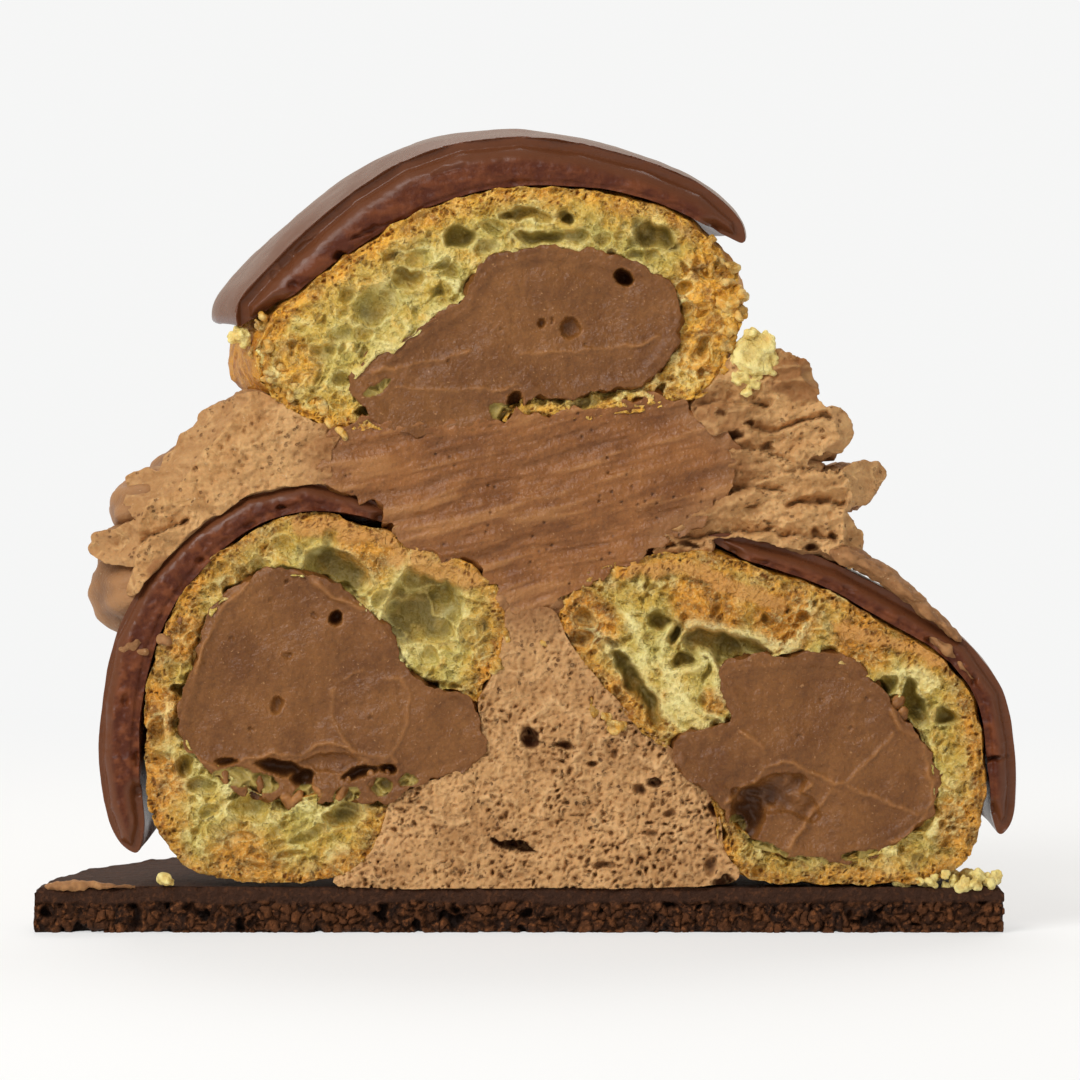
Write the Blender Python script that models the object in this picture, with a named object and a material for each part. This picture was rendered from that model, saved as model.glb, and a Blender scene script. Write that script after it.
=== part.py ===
"""Half of an individual chocolate Saint-Honore cake, cut straight through its middle.

Units are metres and +Z is up. The origin is under the middle of the half cake, on the surface
that it stands on. The flat cut face looks along -Y, and the round back of the cake is at +Y.
"""

import math

import bmesh
import bpy
from mathutils import Vector

MM = 0.001

# Driving dimensions.
BASE_RADIUS = 45 * MM
BASE_THICKNESS = 4.2 * MM
BASE_X = -0.6 * MM  # the biscuit's centre, a little left of the origin
CUT_Y = -23 * MM  # the plane of the knife's cut
GAP = 0.35 * MM  # clearance between pieces that touch
CUTTER_REACH = 3 * MM  # how far a cutter runs out in front of the cut face

# Each bun is round in depth: a section at depth y is the cut section, scaled by an ellipse whose
# middle lies "bulge" behind the cut. All sizes below are in millimetres, (x, z) on the cut face.
LEFT_BUN = {
    "centre": (-20.8, 21.3),
    "pole": (-20.0, 20.5),
    "depth": 17.0,
    "bulge": 0.0,
    "outline": [
        (-4.2, 21.7), (-1.6, 27.3), (-2.4, 31.9), (-5.1, 34.6), (-12.5, 37.1), (-19.9, 39.2),
        (-25.0, 37.6), (-28.7, 34.8), (-31.9, 31.0), (-34.3, 26.0), (-35.3, 17.1),
        (-34.7, 12.5), (-33.4, 7.9), (-30.5, 5.4), (-25.5, 4.8), (-19.9, 4.8), (-16.2, 5.4),
        (-13.4, 8.0), (-12.7, 11.6), (-10.7, 16.2),
    ],
}
LEFT_CREAM = {
    "centre": (-19.5, 21.5),
    "pole": (-19.5, 21.0),
    "depth": 12.5,
    "bulge": 0.0,
    "outline": [
        (-22.4, 33.5), (-26.4, 31.9), (-29.2, 29.4), (-30.8, 23.9), (-32.1, 18.5),
        (-28.5, 15.4), (-25.5, 13.4), (-21.8, 12.5), (-18.1, 13.2), (-13.0, 12.5),
        (-7.9, 14.5), (-4.4, 15.7), (-3.8, 19.9), (-5.1, 22.4), (-9.7, 22.6),
        (-11.1, 24.9), (-13.0, 27.3), (-15.3, 30.5), (-18.1, 32.3),
    ],
}
RIGHT_BUN = {
    "centre": (25.4, 18.9),
    "pole": (25.0, 18.5),
    "depth": 19.5,
    "bulge": 3.5,
    "outline": [
        (2.8, 30.4), (4.1, 32.5), (7.0, 33.6), (15.2, 35.3), (20.2, 34.2), (27.8, 31.5),
        (32.7, 28.6), (37.2, 26.4), (40.2, 24.0), (41.6, 20.6), (42.2, 15.3), (42.1, 9.7),
        (40.8, 6.4), (38.0, 5.2), (31.0, 4.8), (24.7, 4.8), (19.5, 5.6), (17.9, 9.0),
        (18.2, 12.5), (15.2, 16.2), (11.9, 18.0), (7.3, 22.9), (3.6, 27.4),
    ],
}
RIGHT_CREAM = {
    "centre": (26.0, 17.0),
    "pole": (26.0, 17.0),
    "depth": 14.0,
    "bulge": 2.0,
    "outline": [
        (18.3, 24.4), (24.0, 25.5), (28.5, 25.5), (32.3, 23.3), (34.1, 20.6), (36.8, 17.6),
        (37.9, 13.0), (36.8, 10.8), (32.3, 8.1), (27.8, 7.2), (22.5, 7.8), (19.5, 10.4),
        (18.0, 13.0), (15.2, 14.8), (13.5, 17.3), (17.5, 18.8), (19.8, 19.5), (19.1, 22.1),
    ],
}
TOP_BUN = {
    "centre": (-3.3, 56.8),
    "pole": (-4.0, 56.5),
    "depth": 32.0,
    "bulge": 9.0,
    "growth_from": (7.0, 54.0),
    "outline": [
        (-24.3, 51.1), (-24.6, 53.3), (-23.1, 56.8), (-19.0, 60.3), (-13.4, 64.2),
        (-8.8, 66.8), (-3.3, 68.5), (3.2, 68.7), (10.6, 67.6), (15.2, 65.6), (17.5, 63.3),
        (19.4, 61.3), (20.3, 58.7), (19.4, 55.9), (18.2, 53.1), (17.3, 50.7), (14.0, 49.2),
        (3.2, 47.9), (-4.2, 47.6), (-11.6, 46.8), (-16.2, 46.2), (-19.0, 47.6), (-22.2, 49.0),
    ],
}
TOP_CREAM = {
    "centre": (0.0, 55.0),
    "pole": (-2.0, 55.5),
    "depth": 26.0,
    "bulge": 6.0,
    "outline": [
        (-16.0, 51.2), (-12.3, 53.6), (-8.9, 56.3), (-5.1, 58.4), (-4.5, 61.1), (-1.1, 62.6),
        (2.7, 63.1), (5.8, 62.5), (10.2, 61.7), (12.3, 60.4), (13.6, 58.0), (13.8, 55.3),
        (12.4, 52.9), (10.6, 51.1), (4.1, 50.2), (-0.3, 49.8), (-3.3, 47.4), (-7.9, 46.5),
        (-12.3, 47.0), (-14.4, 49.2),
    ],
}
SMOOTH_CREAM = {
    "centre": (1.0, 42.0),
    "pole": (0.5, 42.0),
    "depth": 15.0,
    "bulge": 0.0,
    "outline": [
        (-13.0, 48.0), (-16.7, 46.2), (-18.5, 44.4), (-18.1, 42.2), (-13.4, 39.2),
        (-9.7, 36.0), (-5.1, 33.6), (-2.4, 32.4), (-1.2, 30.5), (0.4, 29.3), (2.3, 30.6),
        (4.1, 31.8), (7.8, 33.4), (11.5, 34.8), (12.6, 37.0), (16.0, 38.8), (18.0, 42.0),
        (19.6, 44.8), (16.2, 46.7), (14.7, 50.0), (10.6, 51.0), (3.2, 51.0), (-4.2, 50.0),
    ],
}
# The whole bun at the back, in the upright plane that runs outwards: (distance behind the cut, z).
REAR_BUN = {
    "centre": (29.0, 20.5),
    "pole": (29.0, 20.5),
    "depth": 15.5,
    "bulge": 0.0,
    "outline": [
        (13.6, 20.5), (14.4, 27.5), (18.2, 33.2), (24.5, 36.2), (31.0, 36.4), (37.0, 33.4),
        (41.0, 28.0), (42.6, 20.5), (41.8, 12.5), (39.0, 6.4), (35.0, 4.8), (24.0, 4.8),
        (18.0, 6.2), (14.6, 12.5),
    ],
}
REAR_BUN_X = 1.5

# Chocolate caps that the buns were dipped in. Angles are in degrees round the bun's centre, from
# +X over +Z. Thickness and lift off the bun are at the first edge, the middle and the last edge.
LEFT_CAP = {"angles": (62, 222), "thickness": (1.3, 3.3, 3.3), "lift": (0.9, 0.6, 1.3)}
RIGHT_CAP = {"angles": (-27, 115), "thickness": (2.3, 2.1, 2.0), "lift": (0.8, 0.76, 0.7)}
TOP_CAP = {"angles": (17, 181), "thickness": (2.6, 4.2, 3.3), "lift": (1.1, 0.5, 0.6)}
REAR_CAP = {"angles": (-32, 112), "thickness": (2.7, 2.64, 2.4), "lift": (0.9, 0.5, 0.5)}

# The ring of star-piped cream: its section where it meets the cut at the left and at the right, as
# (radius from the ring's axis, z). Point i on one side runs round the back to point i on the other,
# so the ribs climb as they go round.
SWIRL_AXIS_X = -3.2
SWIRL_LEFT = [
    (8.0, 50.2), (20.4, 50.2), (24.1, 49.4), (26.9, 47.6), (29.7, 44.4), (31.0, 42.3),
    (33.8, 42.4), (34.0, 40.0), (32.0, 38.0), (37.2, 36.6), (36.9, 34.4), (32.4, 34.4),
    (33.4, 32.8), (31.0, 30.4), (8.0, 30.4),
]
SWIRL_RIGHT = [
    (8.0, 52.0), (21.5, 53.8), (26.0, 53.8), (28.6, 53.0), (30.4, 51.6), (30.2, 48.6),
    (33.4, 48.2), (33.2, 45.6), (29.2, 42.9), (35.8, 43.2), (35.6, 40.8), (32.0, 39.4),
    (34.4, 36.4), (32.0, 33.6), (8.0, 30.4),
]
SWIRL_RIB_POINTS = (3, 6, 9, 12)
SWIRL_WAVE = 0.7  # how far the ribs wander in and out
SWIRL_WAVES = 7

CENTRE_CREAM = {"x": 0.9, "half_width": 19.0, "depth": 30.0, "bottom": 4.6, "top": 29.9}

OUTLINE_POINTS = 30
SECTION_RINGS = 7
CAP_POINTS = 26
SWIRL_RINGS = 21


def catmull_rom(a, b, c, d, t):
    """The point a share t of the way from b to c on a smooth curve past a, b, c and d."""
    return 0.5 * (2 * b + (c - a) * t + (2 * a - 5 * b + 4 * c - d) * t**2 + (3 * b - a - 3 * c + d) * t**3)


def curve_through(points, per_span):
    """A closed smooth curve through the points, in metres, with per_span points from each to the next."""
    knots = [Vector(p) * MM for p in points]
    count = len(knots)
    return [
        catmull_rom(*(knots[(i + k) % count] for k in (-1, 0, 1, 2)), step / per_span)
        for i in range(count)
        for step in range(per_span)
    ]


def evenly_spaced(loop, count):
    """The closed loop again, with count points at equal distances along it."""
    lengths = [(loop[i] - loop[i - 1]).length for i in range(1, len(loop))]
    lengths.append((loop[0] - loop[-1]).length)
    step = sum(lengths) / count
    found, walked, i = [], 0.0, 0
    for k in range(count):
        while walked + lengths[i] < k * step:
            walked += lengths[i]
            i += 1
        share = (k * step - walked) / lengths[i]
        found.append(loop[i].lerp(loop[(i + 1) % len(loop)], share))
    return found


def outline_of(shape, grow=0.0, count=OUTLINE_POINTS):
    """The shape's smooth outline, counted evenly, and moved outwards by grow."""
    loop = evenly_spaced(curve_through(shape["outline"], 6), count)
    area = sum(loop[i - 1].cross(loop[i]) for i in range(count))
    side = 1 if area > 0 else -1
    moved = []
    for i in range(count):
        along = (loop[(i + 1) % count] - loop[i - 1]).normalized()
        moved.append(loop[i] + Vector((along.y, -along.x)) * side * grow)
    return moved


def section_point(shape, point, turn, grow=0.0):
    """Where a point of the cut section comes in the section at angle turn, as (a, depth, z)."""
    first = math.asin(shape["bulge"] / (shape["depth"] - shape["bulge"]))
    scale = math.cos(turn) / math.cos(first)
    radius = (shape["depth"] - shape["bulge"]) * MM + grow
    depth = shape["bulge"] * MM + radius * math.sin(turn)
    hinge = Vector(shape.get("growth_from", shape["pole"])) * MM
    drift = (Vector(shape["pole"]) * MM - hinge) * (depth / (shape["depth"] * MM)) ** 2
    flat = hinge + (point - hinge) * scale + drift
    return Vector((flat.x, depth, flat.y))


def turns_of(shape, last=math.pi / 2, whole=False):
    """The angles of the sections, from the cut (or the front pole of a whole bun) to the last."""
    first = -last if whole else -math.asin(shape["bulge"] / (shape["depth"] - shape["bulge"]))
    steps = SECTION_RINGS * (2 if whole else 1)
    return [first + (last - first) * i / steps for i in range(steps + 1)]


def skin(name, rings, colour, roughness, front_pole=None, back_pole=None):
    """A closed object through the rings: each end closes on its pole, or with a flat face."""
    bm = bmesh.new()
    layers = [[bm.verts.new(p) for p in ring] for ring in rings]
    for near, far in zip(layers, layers[1:]):
        for i in range(len(near)):
            bm.faces.new((near[i - 1], near[i], far[i], far[i - 1]))
    for layer, pole in ((layers[0], front_pole), (layers[-1], back_pole)):
        if pole is None:
            bm.faces.new(layer)
            continue
        tip = bm.verts.new(pole)
        for i in range(len(layer)):
            bm.faces.new((layer[i - 1], layer[i], tip))
    return finish(name, bm, colour, roughness)


def finish(name, bm, colour, roughness):
    """The mesh as an object in the scene, with its faces outwards and its own material."""
    bmesh.ops.recalc_face_normals(bm, faces=bm.faces)
    mesh = bpy.data.meshes.new(name)
    bm.to_mesh(mesh)
    bm.free()
    obj = bpy.data.objects.new(name, mesh)
    bpy.context.scene.collection.objects.link(obj)
    mesh.shade_smooth()
    mesh.set_sharp_from_angle(angle=math.radians(50))
    if colour is not None:
        obj.data.materials.append(material(name, colour, roughness))
    return obj


def material(name, colour, roughness):
    made = bpy.data.materials.new(name)
    made.use_nodes = True
    shader = made.node_tree.nodes["Principled BSDF"]
    shader.inputs["Base Color"].default_value = (*colour, 1)
    shader.inputs["Roughness"].default_value = roughness
    shader.inputs["Metallic"].default_value = 0
    return made


def on_the_cut(point):
    """A point (a, depth, z) of a piece whose section lies on the cut face."""
    return Vector((point.x, CUT_Y + point.y, point.z))


def at_the_back(point):
    """A point (a, depth, z) of the rear bun, whose section lies in the plane that runs outwards."""
    return Vector((REAR_BUN_X * MM + point.y, CUT_Y + point.x, point.z))


def bun(name, shape, colour=None, roughness=0.7, grow=0.0, reach=0.0, whole=False):
    """A bun, or its filling. With grow and reach it is the cutter that leaves room for one."""
    place = at_the_back if whole else on_the_cut
    outline = outline_of(shape, grow)
    turns = turns_of(shape, whole=whole)
    inner = turns[1:-1] if whole else turns[:-1]
    rings = [[place(section_point(shape, p, turn, grow)) for p in outline] for turn in inner]
    if reach:
        rings.insert(0, [p - Vector((0, reach, 0)) for p in rings[0]])
    middle = Vector(shape.get("growth_from", shape["pole"])) * MM
    back = place(section_point(shape, middle, math.pi / 2, grow))
    front = place(section_point(shape, middle, -math.pi / 2, grow)) if whole else None
    return skin(name, rings, colour, roughness, front, back)


def between(values, share):
    """The first, middle and last value joined by a parabola, at a share from -1 to 1."""
    first, middle, last = (v * MM for v in values)
    return middle + (last - first) / 2 * share + ((last + first) / 2 - middle) * share**2


def radius_at(loop, centre, angle):
    """How far the loop lies from the centre in the direction of the angle."""
    way = Vector((math.cos(angle), math.sin(angle)))
    for i in range(len(loop)):
        a, b = loop[i - 1] - centre, loop[i] - centre
        side_a, side_b = way.cross(a), way.cross(b)
        if side_a <= 0 < side_b or side_b <= 0 < side_a:
            crossing = a.lerp(b, side_a / (side_a - side_b))
            if crossing.dot(way) > 0:
                return crossing.length
    raise ValueError("the centre lies outside the loop")


def outwards(way, turn):
    """The direction away from a bun, for a way in its section and the angle of the section."""
    return Vector((way.x * math.cos(turn), math.sin(turn), way.y * math.cos(turn)))


def cap(name, shape, dip, colour=None, roughness=0.3, grow=0.0, reach=0.0, whole=False):
    """The chocolate cap on a bun: a shell that ends in a round lip where the dipping stopped."""
    place = at_the_back if whole else on_the_cut
    first, last = (math.radians(a) for a in dip["angles"])
    axis, half = (first + last) / 2, (last - first) / 2
    cut_turn = 0.0 if whole else math.asin(shape["bulge"] / (shape["depth"] - shape["bulge"]))
    end_turn = math.acos(math.cos(half) * math.cos(cut_turn))
    centre = Vector(shape["centre"]) * MM
    body = outline_of(shape, count=90)
    lip = 0.12 + grow / (18 * MM)
    rings = []
    turns = turns_of(shape, end_turn, whole)
    for turn in turns[1:-1] if whole else turns[:-1]:
        spread = math.acos(min(1.0, math.cos(half) * math.cos(cut_turn) / math.cos(turn)))
        spread += grow / (18 * MM)
        ring = []
        for k in range(CAP_POINTS):
            round_trip = 2 * math.pi * (k + 0.5) / CAP_POINTS
            share = math.cos(round_trip) / math.cos(math.pi / CAP_POINTS)
            outside = math.sin(round_trip) > 0
            edge = min(1.0, max(0.0, 1 - abs(share)) / lip)
            swell = math.sqrt(1 - (1 - edge) ** 2) * 0.94 + 0.06
            angle = axis + share * spread
            wall = between(dip["thickness"], share) / 2 + grow
            height = between(dip["lift"], share) + wall - grow + (wall if outside else -wall) * swell
            height -= 0 if outside else 8 * grow  # a cutter sinks into the bun's own cutter
            way = Vector((math.cos(angle), math.sin(angle)))
            on_bun = section_point(shape, centre + way * radius_at(body, centre, angle), turn)
            ring.append(on_bun + outwards(way, turn) * height)
        rings.append([place(p) for p in ring])
    if reach:
        rings.insert(0, [p - Vector((0, reach, 0)) for p in rings[0]])
    tips = []
    for turn in (end_turn, -end_turn):
        way = Vector((math.cos(axis), math.sin(axis)))
        height = between(dip["lift"], 0) + between(dip["thickness"], 0) / 2
        edge = section_point(shape, centre + way * radius_at(body, centre, axis), turn)
        tips.append(place(edge + outwards(way, turn) * height))
    return skin(name, rings, colour, roughness, tips[1] if whole else None, tips[0])


def level_cut_face(obj):
    """Cuts off what stands out in front of the cut plane, and closes the piece flat there."""
    bm = bmesh.new()
    bm.from_mesh(obj.data)
    geometry = bm.verts[:] + bm.edges[:] + bm.faces[:]
    bmesh.ops.bisect_plane(
        bm, geom=geometry, plane_co=(0, CUT_Y, 0), plane_no=(0, -1, 0), clear_outer=True
    )
    bmesh.ops.remove_doubles(bm, verts=bm.verts, dist=0.01 * MM)
    bmesh.ops.holes_fill(bm, edges=[e for e in bm.edges if e.is_boundary])
    bm.to_mesh(obj.data)
    bm.free()


def biscuit(colour, roughness):
    """The half disc of chocolate shortcrust, with a slightly uneven rim."""
    bm = bmesh.new()
    steps = 44
    rim = []
    for i in range(steps + 1):
        angle = math.pi * i / steps
        radius = BASE_RADIUS * (1 + 0.004 * math.sin(9 * angle) * math.sin(angle))
        rim.append((BASE_X + radius * math.cos(angle), CUT_Y + radius * math.sin(angle), 0))
    face = bm.faces.new([bm.verts.new(p) for p in rim])
    lifted = bmesh.ops.extrude_face_region(bm, geom=[face])["geom"]
    top = [v for v in lifted if isinstance(v, bmesh.types.BMVert)]
    bmesh.ops.translate(bm, vec=(0, 0, BASE_THICKNESS), verts=top)
    edges = [e for e in bm.edges if all(v in top for v in e.verts)]
    bmesh.ops.bevel(bm, geom=edges, offset=0.5 * MM, segments=1, profile=0.5, affect="EDGES")
    return finish("biscuit_base", bm, colour, roughness)


def centre_cream(colour, roughness):
    """The aerated cream that fills the middle, up to the piped ring. Cutters shape its sides."""
    facts = {k: v * MM for k, v in CENTRE_CREAM.items()}
    rings = []
    for share, swell in ((0, 0.97), (0.15, 1.0), (0.85, 1.0), (1, 0.95)):
        z = facts["bottom"] + (facts["top"] - facts["bottom"]) * share
        arc = [math.pi * i / 24 for i in range(25)]
        rings.append(
            [
                (
                    facts["x"] + facts["half_width"] * swell * math.cos(a),
                    CUT_Y + facts["depth"] * swell * math.sin(a),
                    z,
                )
                for a in arc
            ]
        )
    return skin("centre_cream", rings, colour, roughness)


def piped_swirl(colour, roughness):
    """The ring of star-piped cream under the top bun, turned half way round behind the cut."""
    rings = []
    straight = (1, 2 * len(SWIRL_LEFT) - 3, 2 * len(SWIRL_LEFT) - 1)
    for k in range(SWIRL_RINGS):
        share = k / (SWIRL_RINGS - 1)
        angle = math.pi * share
        section = []
        for i, (left, right) in enumerate(zip(SWIRL_LEFT, SWIRL_RIGHT)):
            radius, z = Vector(left).lerp(Vector(right), share)
            if i in SWIRL_RIB_POINTS:
                radius += SWIRL_WAVE * math.sin(SWIRL_WAVES * angle + 1.3 * i) * math.sin(angle)
            section.append((radius, z))
        rings.append(
            [
                (
                    SWIRL_AXIS_X * MM - p.x * math.cos(angle),
                    CUT_Y + p.x * math.sin(angle),
                    p.y,
                )
                for i, p in enumerate(curve_through(section, 2))
                if i not in straight
            ]
        )
    return skin("piped_swirl", rings, colour, roughness)


def cut_from(obj, cutters):
    """Boolean cuts that leave room in obj for its neighbours."""
    for cutter in cutters:
        cutter.hide_render = True
        cutter.display_type = "WIRE"
        modifier = obj.modifiers.new("Room for " + cutter.name, "BOOLEAN")
        modifier.operation = "DIFFERENCE"
        modifier.solver = "EXACT"
        modifier.object = cutter


def build():
    for obj in list(bpy.data.objects):
        bpy.data.objects.remove(obj)
    crust, filling = (0.62, 0.36, 0.10), (0.22, 0.10, 0.05)
    mousse, dip = (0.36, 0.20, 0.12), (0.09, 0.025, 0.015)

    biscuit((0.035, 0.014, 0.008), 0.9)
    room = {}
    for side, shape, cream, dipping in (
        ("left", LEFT_BUN, LEFT_CREAM, LEFT_CAP),
        ("right", RIGHT_BUN, RIGHT_CREAM, RIGHT_CAP),
        ("top", TOP_BUN, TOP_CREAM, TOP_CAP),
    ):
        shell = bun(f"{side}_bun_shell", shape, crust, 0.75)
        bun(f"{side}_bun_cream", cream, filling, 0.35)
        glaze = cap(f"{side}_glaze", shape, dipping, dip, 0.3, reach=CUTTER_REACH)
        level_cut_face(glaze)
        room[side + "_cream"] = bun(f"room_{side}_cream", cream, grow=GAP, reach=CUTTER_REACH)
        room[side + "_bun"] = bun(f"room_{side}_bun", shape, grow=GAP, reach=CUTTER_REACH)
        room[side + "_glaze"] = cap(f"room_{side}_glaze", shape, dipping, grow=GAP, reach=CUTTER_REACH)
        cut_from(shell, [room[side + "_cream"]])
    bun("rear_bun", REAR_BUN, crust, 0.75, whole=True)
    cap("rear_glaze", REAR_BUN, REAR_CAP, dip, 0.3, whole=True)
    room["rear_bun"] = bun("room_rear_bun", REAR_BUN, grow=GAP, whole=True)
    room["rear_glaze"] = cap("room_rear_glaze", REAR_BUN, REAR_CAP, grow=GAP, whole=True)

    smooth = bun("smooth_cream", SMOOTH_CREAM, filling, 0.4)
    cut_from(smooth, [room[k] for k in room if not k.startswith("rear")])
    room["smooth"] = bun("room_smooth", SMOOTH_CREAM, grow=GAP, reach=CUTTER_REACH)
    cut_from(piped_swirl(mousse, 0.6), list(room.values()))
    cut_from(centre_cream(mousse, 0.65), list(room.values()))
    for cutter in room.values():
        cutter.hide_render = True
        cutter.display_type = "WIRE"


build()
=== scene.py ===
import math

import bmesh
import bpy
import numpy as np
from mathutils import Matrix, Vector


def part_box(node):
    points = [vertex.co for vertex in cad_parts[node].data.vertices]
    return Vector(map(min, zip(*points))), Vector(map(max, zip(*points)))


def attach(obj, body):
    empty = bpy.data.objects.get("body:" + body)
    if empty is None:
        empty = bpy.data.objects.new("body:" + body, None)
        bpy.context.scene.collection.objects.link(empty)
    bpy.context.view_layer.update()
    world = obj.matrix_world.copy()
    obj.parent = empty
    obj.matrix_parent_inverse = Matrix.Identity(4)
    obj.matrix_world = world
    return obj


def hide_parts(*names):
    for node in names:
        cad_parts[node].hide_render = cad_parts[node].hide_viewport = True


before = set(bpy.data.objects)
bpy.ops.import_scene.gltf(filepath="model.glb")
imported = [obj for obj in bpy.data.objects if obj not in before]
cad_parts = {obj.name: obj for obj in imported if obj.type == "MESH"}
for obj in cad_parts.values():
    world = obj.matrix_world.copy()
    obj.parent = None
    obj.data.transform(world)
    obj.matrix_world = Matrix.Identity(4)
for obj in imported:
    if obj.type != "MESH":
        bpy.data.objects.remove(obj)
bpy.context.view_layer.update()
mm = 0.001

# Everything about the cut face is in millimetres: x to the right, z up, and depth behind the cut plane.
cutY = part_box("biscuit_base")[0].y
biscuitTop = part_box("biscuit_base")[1].z / mm
weldGap = 0.001 * mm  # corners closer than this are one corner
planeGap = 0.01 * mm  # a corner this near the cut plane lies on it
drawnOut = 3 * mm  # how far a body reaches in front of the cut until it is trimmed
quadAngle = math.radians(40)  # triangles that meet flatter than this become one four-sided face

# random values over a surface, and distances on the cut face
noiseCells, bubbleCells = 32, 64  # after so many cells a random pattern repeats


def noise(x, y, z, size, seed, layers=1, gain=0.5):
    # smooth random values about -1 to 1; each further layer is half the size and gain times as strong
    total, weight = np.zeros_like(x), 1.0
    for layer in range(layers):
        table = np.random.default_rng(seed + layer).uniform(-1, 1, (noiseCells,) * 3)
        step = size / 2**layer
        c, s = math.cos(seed + layer), math.sin(seed + layer)
        u, v, w = (x * c - z * s) / step + 800.3, y / step + 800.7, (x * s + z * c) / step + 800.1
        i, j, k = np.floor(u).astype(int), np.floor(v).astype(int), np.floor(w).astype(int)
        fu, fv, fw = u - i, v - j, w - k
        fu, fv, fw = (f * f * (3 - 2 * f) for f in (fu, fv, fw))
        i0, j0, k0 = i % noiseCells, j % noiseCells, k % noiseCells
        i1, j1, k1 = (i + 1) % noiseCells, (j + 1) % noiseCells, (k + 1) % noiseCells
        near = (table[i0, j0, k0] * (1 - fu) + table[i1, j0, k0] * fu) * (1 - fv)
        near += (table[i0, j1, k0] * (1 - fu) + table[i1, j1, k0] * fu) * fv
        far = (table[i0, j0, k1] * (1 - fu) + table[i1, j0, k1] * fu) * (1 - fv)
        far += (table[i0, j1, k1] * (1 - fu) + table[i1, j1, k1] * fu) * fv
        total += weight * (near * (1 - fw) + far * fw)
        weight *= gain
    return total


def flatNoise(x, z, size, seed, layers=1, gain=0.5):
    return noise(x, np.zeros_like(x), z, size, seed, layers, gain)


def smoothStep(low, high, value):
    share = np.clip((value - low) / (high - low), 0, 1)
    return share * share * (3 - 2 * share)


def bubbles(x, z, size, seed):
    # distances to the nearest and the second nearest of scattered bubble middles, in bubble sizes,
    # and a random value that belongs to the nearest bubble
    table = np.random.default_rng(seed).uniform(0, 1, (bubbleCells, bubbleCells, 3))
    u, v = x / size + 300, z / size + 300
    i, j = np.floor(u).astype(int), np.floor(v).astype(int)
    first, second, own = np.full_like(x, 9.0), np.full_like(x, 9.0), np.zeros_like(x)
    for di in (-1, 0, 1):
        for dj in (-1, 0, 1):
            middle = table[(i + di) % bubbleCells, (j + dj) % bubbleCells]
            reach = np.hypot(i + di + middle[..., 0] - u, j + dj + middle[..., 1] - v)
            second = np.minimum(second, np.maximum(first, reach))
            own = np.where(reach < first, middle[..., 2], own)
            first = np.minimum(first, reach)
    return first, second, own


def pitted(x, z, pits):
    # each pit is (x, z, half length, half height, tilt in degrees, depth): the deepest one shows
    depth, lip = np.zeros_like(x), np.zeros_like(x)
    for px, pz, rx, rz, tilt, deep in pits:
        reach = 1.5 * max(rx, rz)
        spot = np.nonzero((np.abs(x - px) < reach) & (np.abs(z - pz) < reach))[0]
        if not len(spot):
            continue
        dx, dz = x[spot] - px, z[spot] - pz
        c, s = math.cos(math.radians(tilt)), math.sin(math.radians(tilt))
        away = np.sqrt(((dx * c + dz * s) / rx) ** 2 + ((dz * c - dx * s) / rz) ** 2)
        depth[spot] = np.maximum(depth[spot], deep * np.sqrt(np.clip(1 - away**2, 0, 1)))
        lip[spot] = np.maximum(lip[spot], np.exp(-(((away - 1.06) / 0.12) ** 2)))
    return depth, lip


def segmentDistance(x, z, segments):
    # how far each place is from the nearest of the straight segments (ax, az, bx, bz)
    nearest = np.full_like(x, 1e9)
    for ax, az, bx, bz in segments:
        dx, dz = bx - ax, bz - az
        share = np.clip(((x - ax) * dx + (z - az) * dz) / max(dx * dx + dz * dz, 1e-9), 0, 1)
        nearest = np.minimum(nearest, (x - ax - share * dx) ** 2 + (z - az - share * dz) ** 2)
    return np.sqrt(nearest)


def lineDistance(x, z, lines):
    segments = [(*a, *b) for line in lines for a, b in zip(line, line[1:])]
    return segmentDistance(x, z, segments)


# from a CAD node to a finished piece
def show(name, mesh):
    piece = bpy.data.objects.new(name, mesh)
    bpy.context.scene.collection.objects.link(piece)
    return piece


def meshFrom(bm, name):
    mesh = bpy.data.meshes.new(name)
    bm.to_mesh(mesh)
    bm.free()
    return mesh


def applied(piece):
    graph = bpy.context.evaluated_depsgraph_get()
    mesh = bpy.data.meshes.new_from_object(piece.evaluated_get(graph))
    piece.modifiers.clear()
    piece.data = mesh
    return piece


def smoothed(piece, levels, kind):
    rounder = piece.modifiers.new("Rounder", "SUBSURF")
    rounder.subdivision_type = kind
    rounder.levels = rounder.render_levels = levels
    return applied(piece)


def trimmed(piece, block):
    cut = piece.modifiers.new("Cut", "BOOLEAN")
    cut.operation, cut.solver, cut.object = "INTERSECT", "MANIFOLD", block
    applied(piece)
    bpy.data.objects.remove(block)
    return piece


def positions(mesh, kind="co"):
    flat = np.empty(len(mesh.vertices) * 3, np.float32)
    mesh.vertices.foreach_get(kind, flat)
    return flat.reshape(-1, 3).astype(float)


def setPositions(mesh, places):
    mesh.vertices.foreach_set("co", places.astype(np.float32).ravel())
    mesh.update()


def roughened(piece, grow, *layers):
    # the surface moved out by grow mm, and by each layer of noise: (height, size, seed)
    places, normals = positions(piece.data), positions(piece.data, "normal")
    x, y, z = places.T / mm
    out = np.full_like(x, grow)
    for height, size, seed in layers:
        out += height * noise(x, y, z, size, seed, 3)
    inFront = y < cutY / mm - 0.5
    normals[inFront, 1] = 0
    setPositions(piece.data, places + normals * out[:, None] * mm)
    return piece


def weldedCopy(node):
    bm = bmesh.new()
    bm.from_mesh(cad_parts[node].data)
    bmesh.ops.remove_doubles(bm, verts=bm.verts, dist=weldGap)
    return bm


def frontFaces(bm):
    return [f for f in bm.faces if all(abs(v.co.y - cutY) < planeGap for v in f.verts)]


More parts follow.
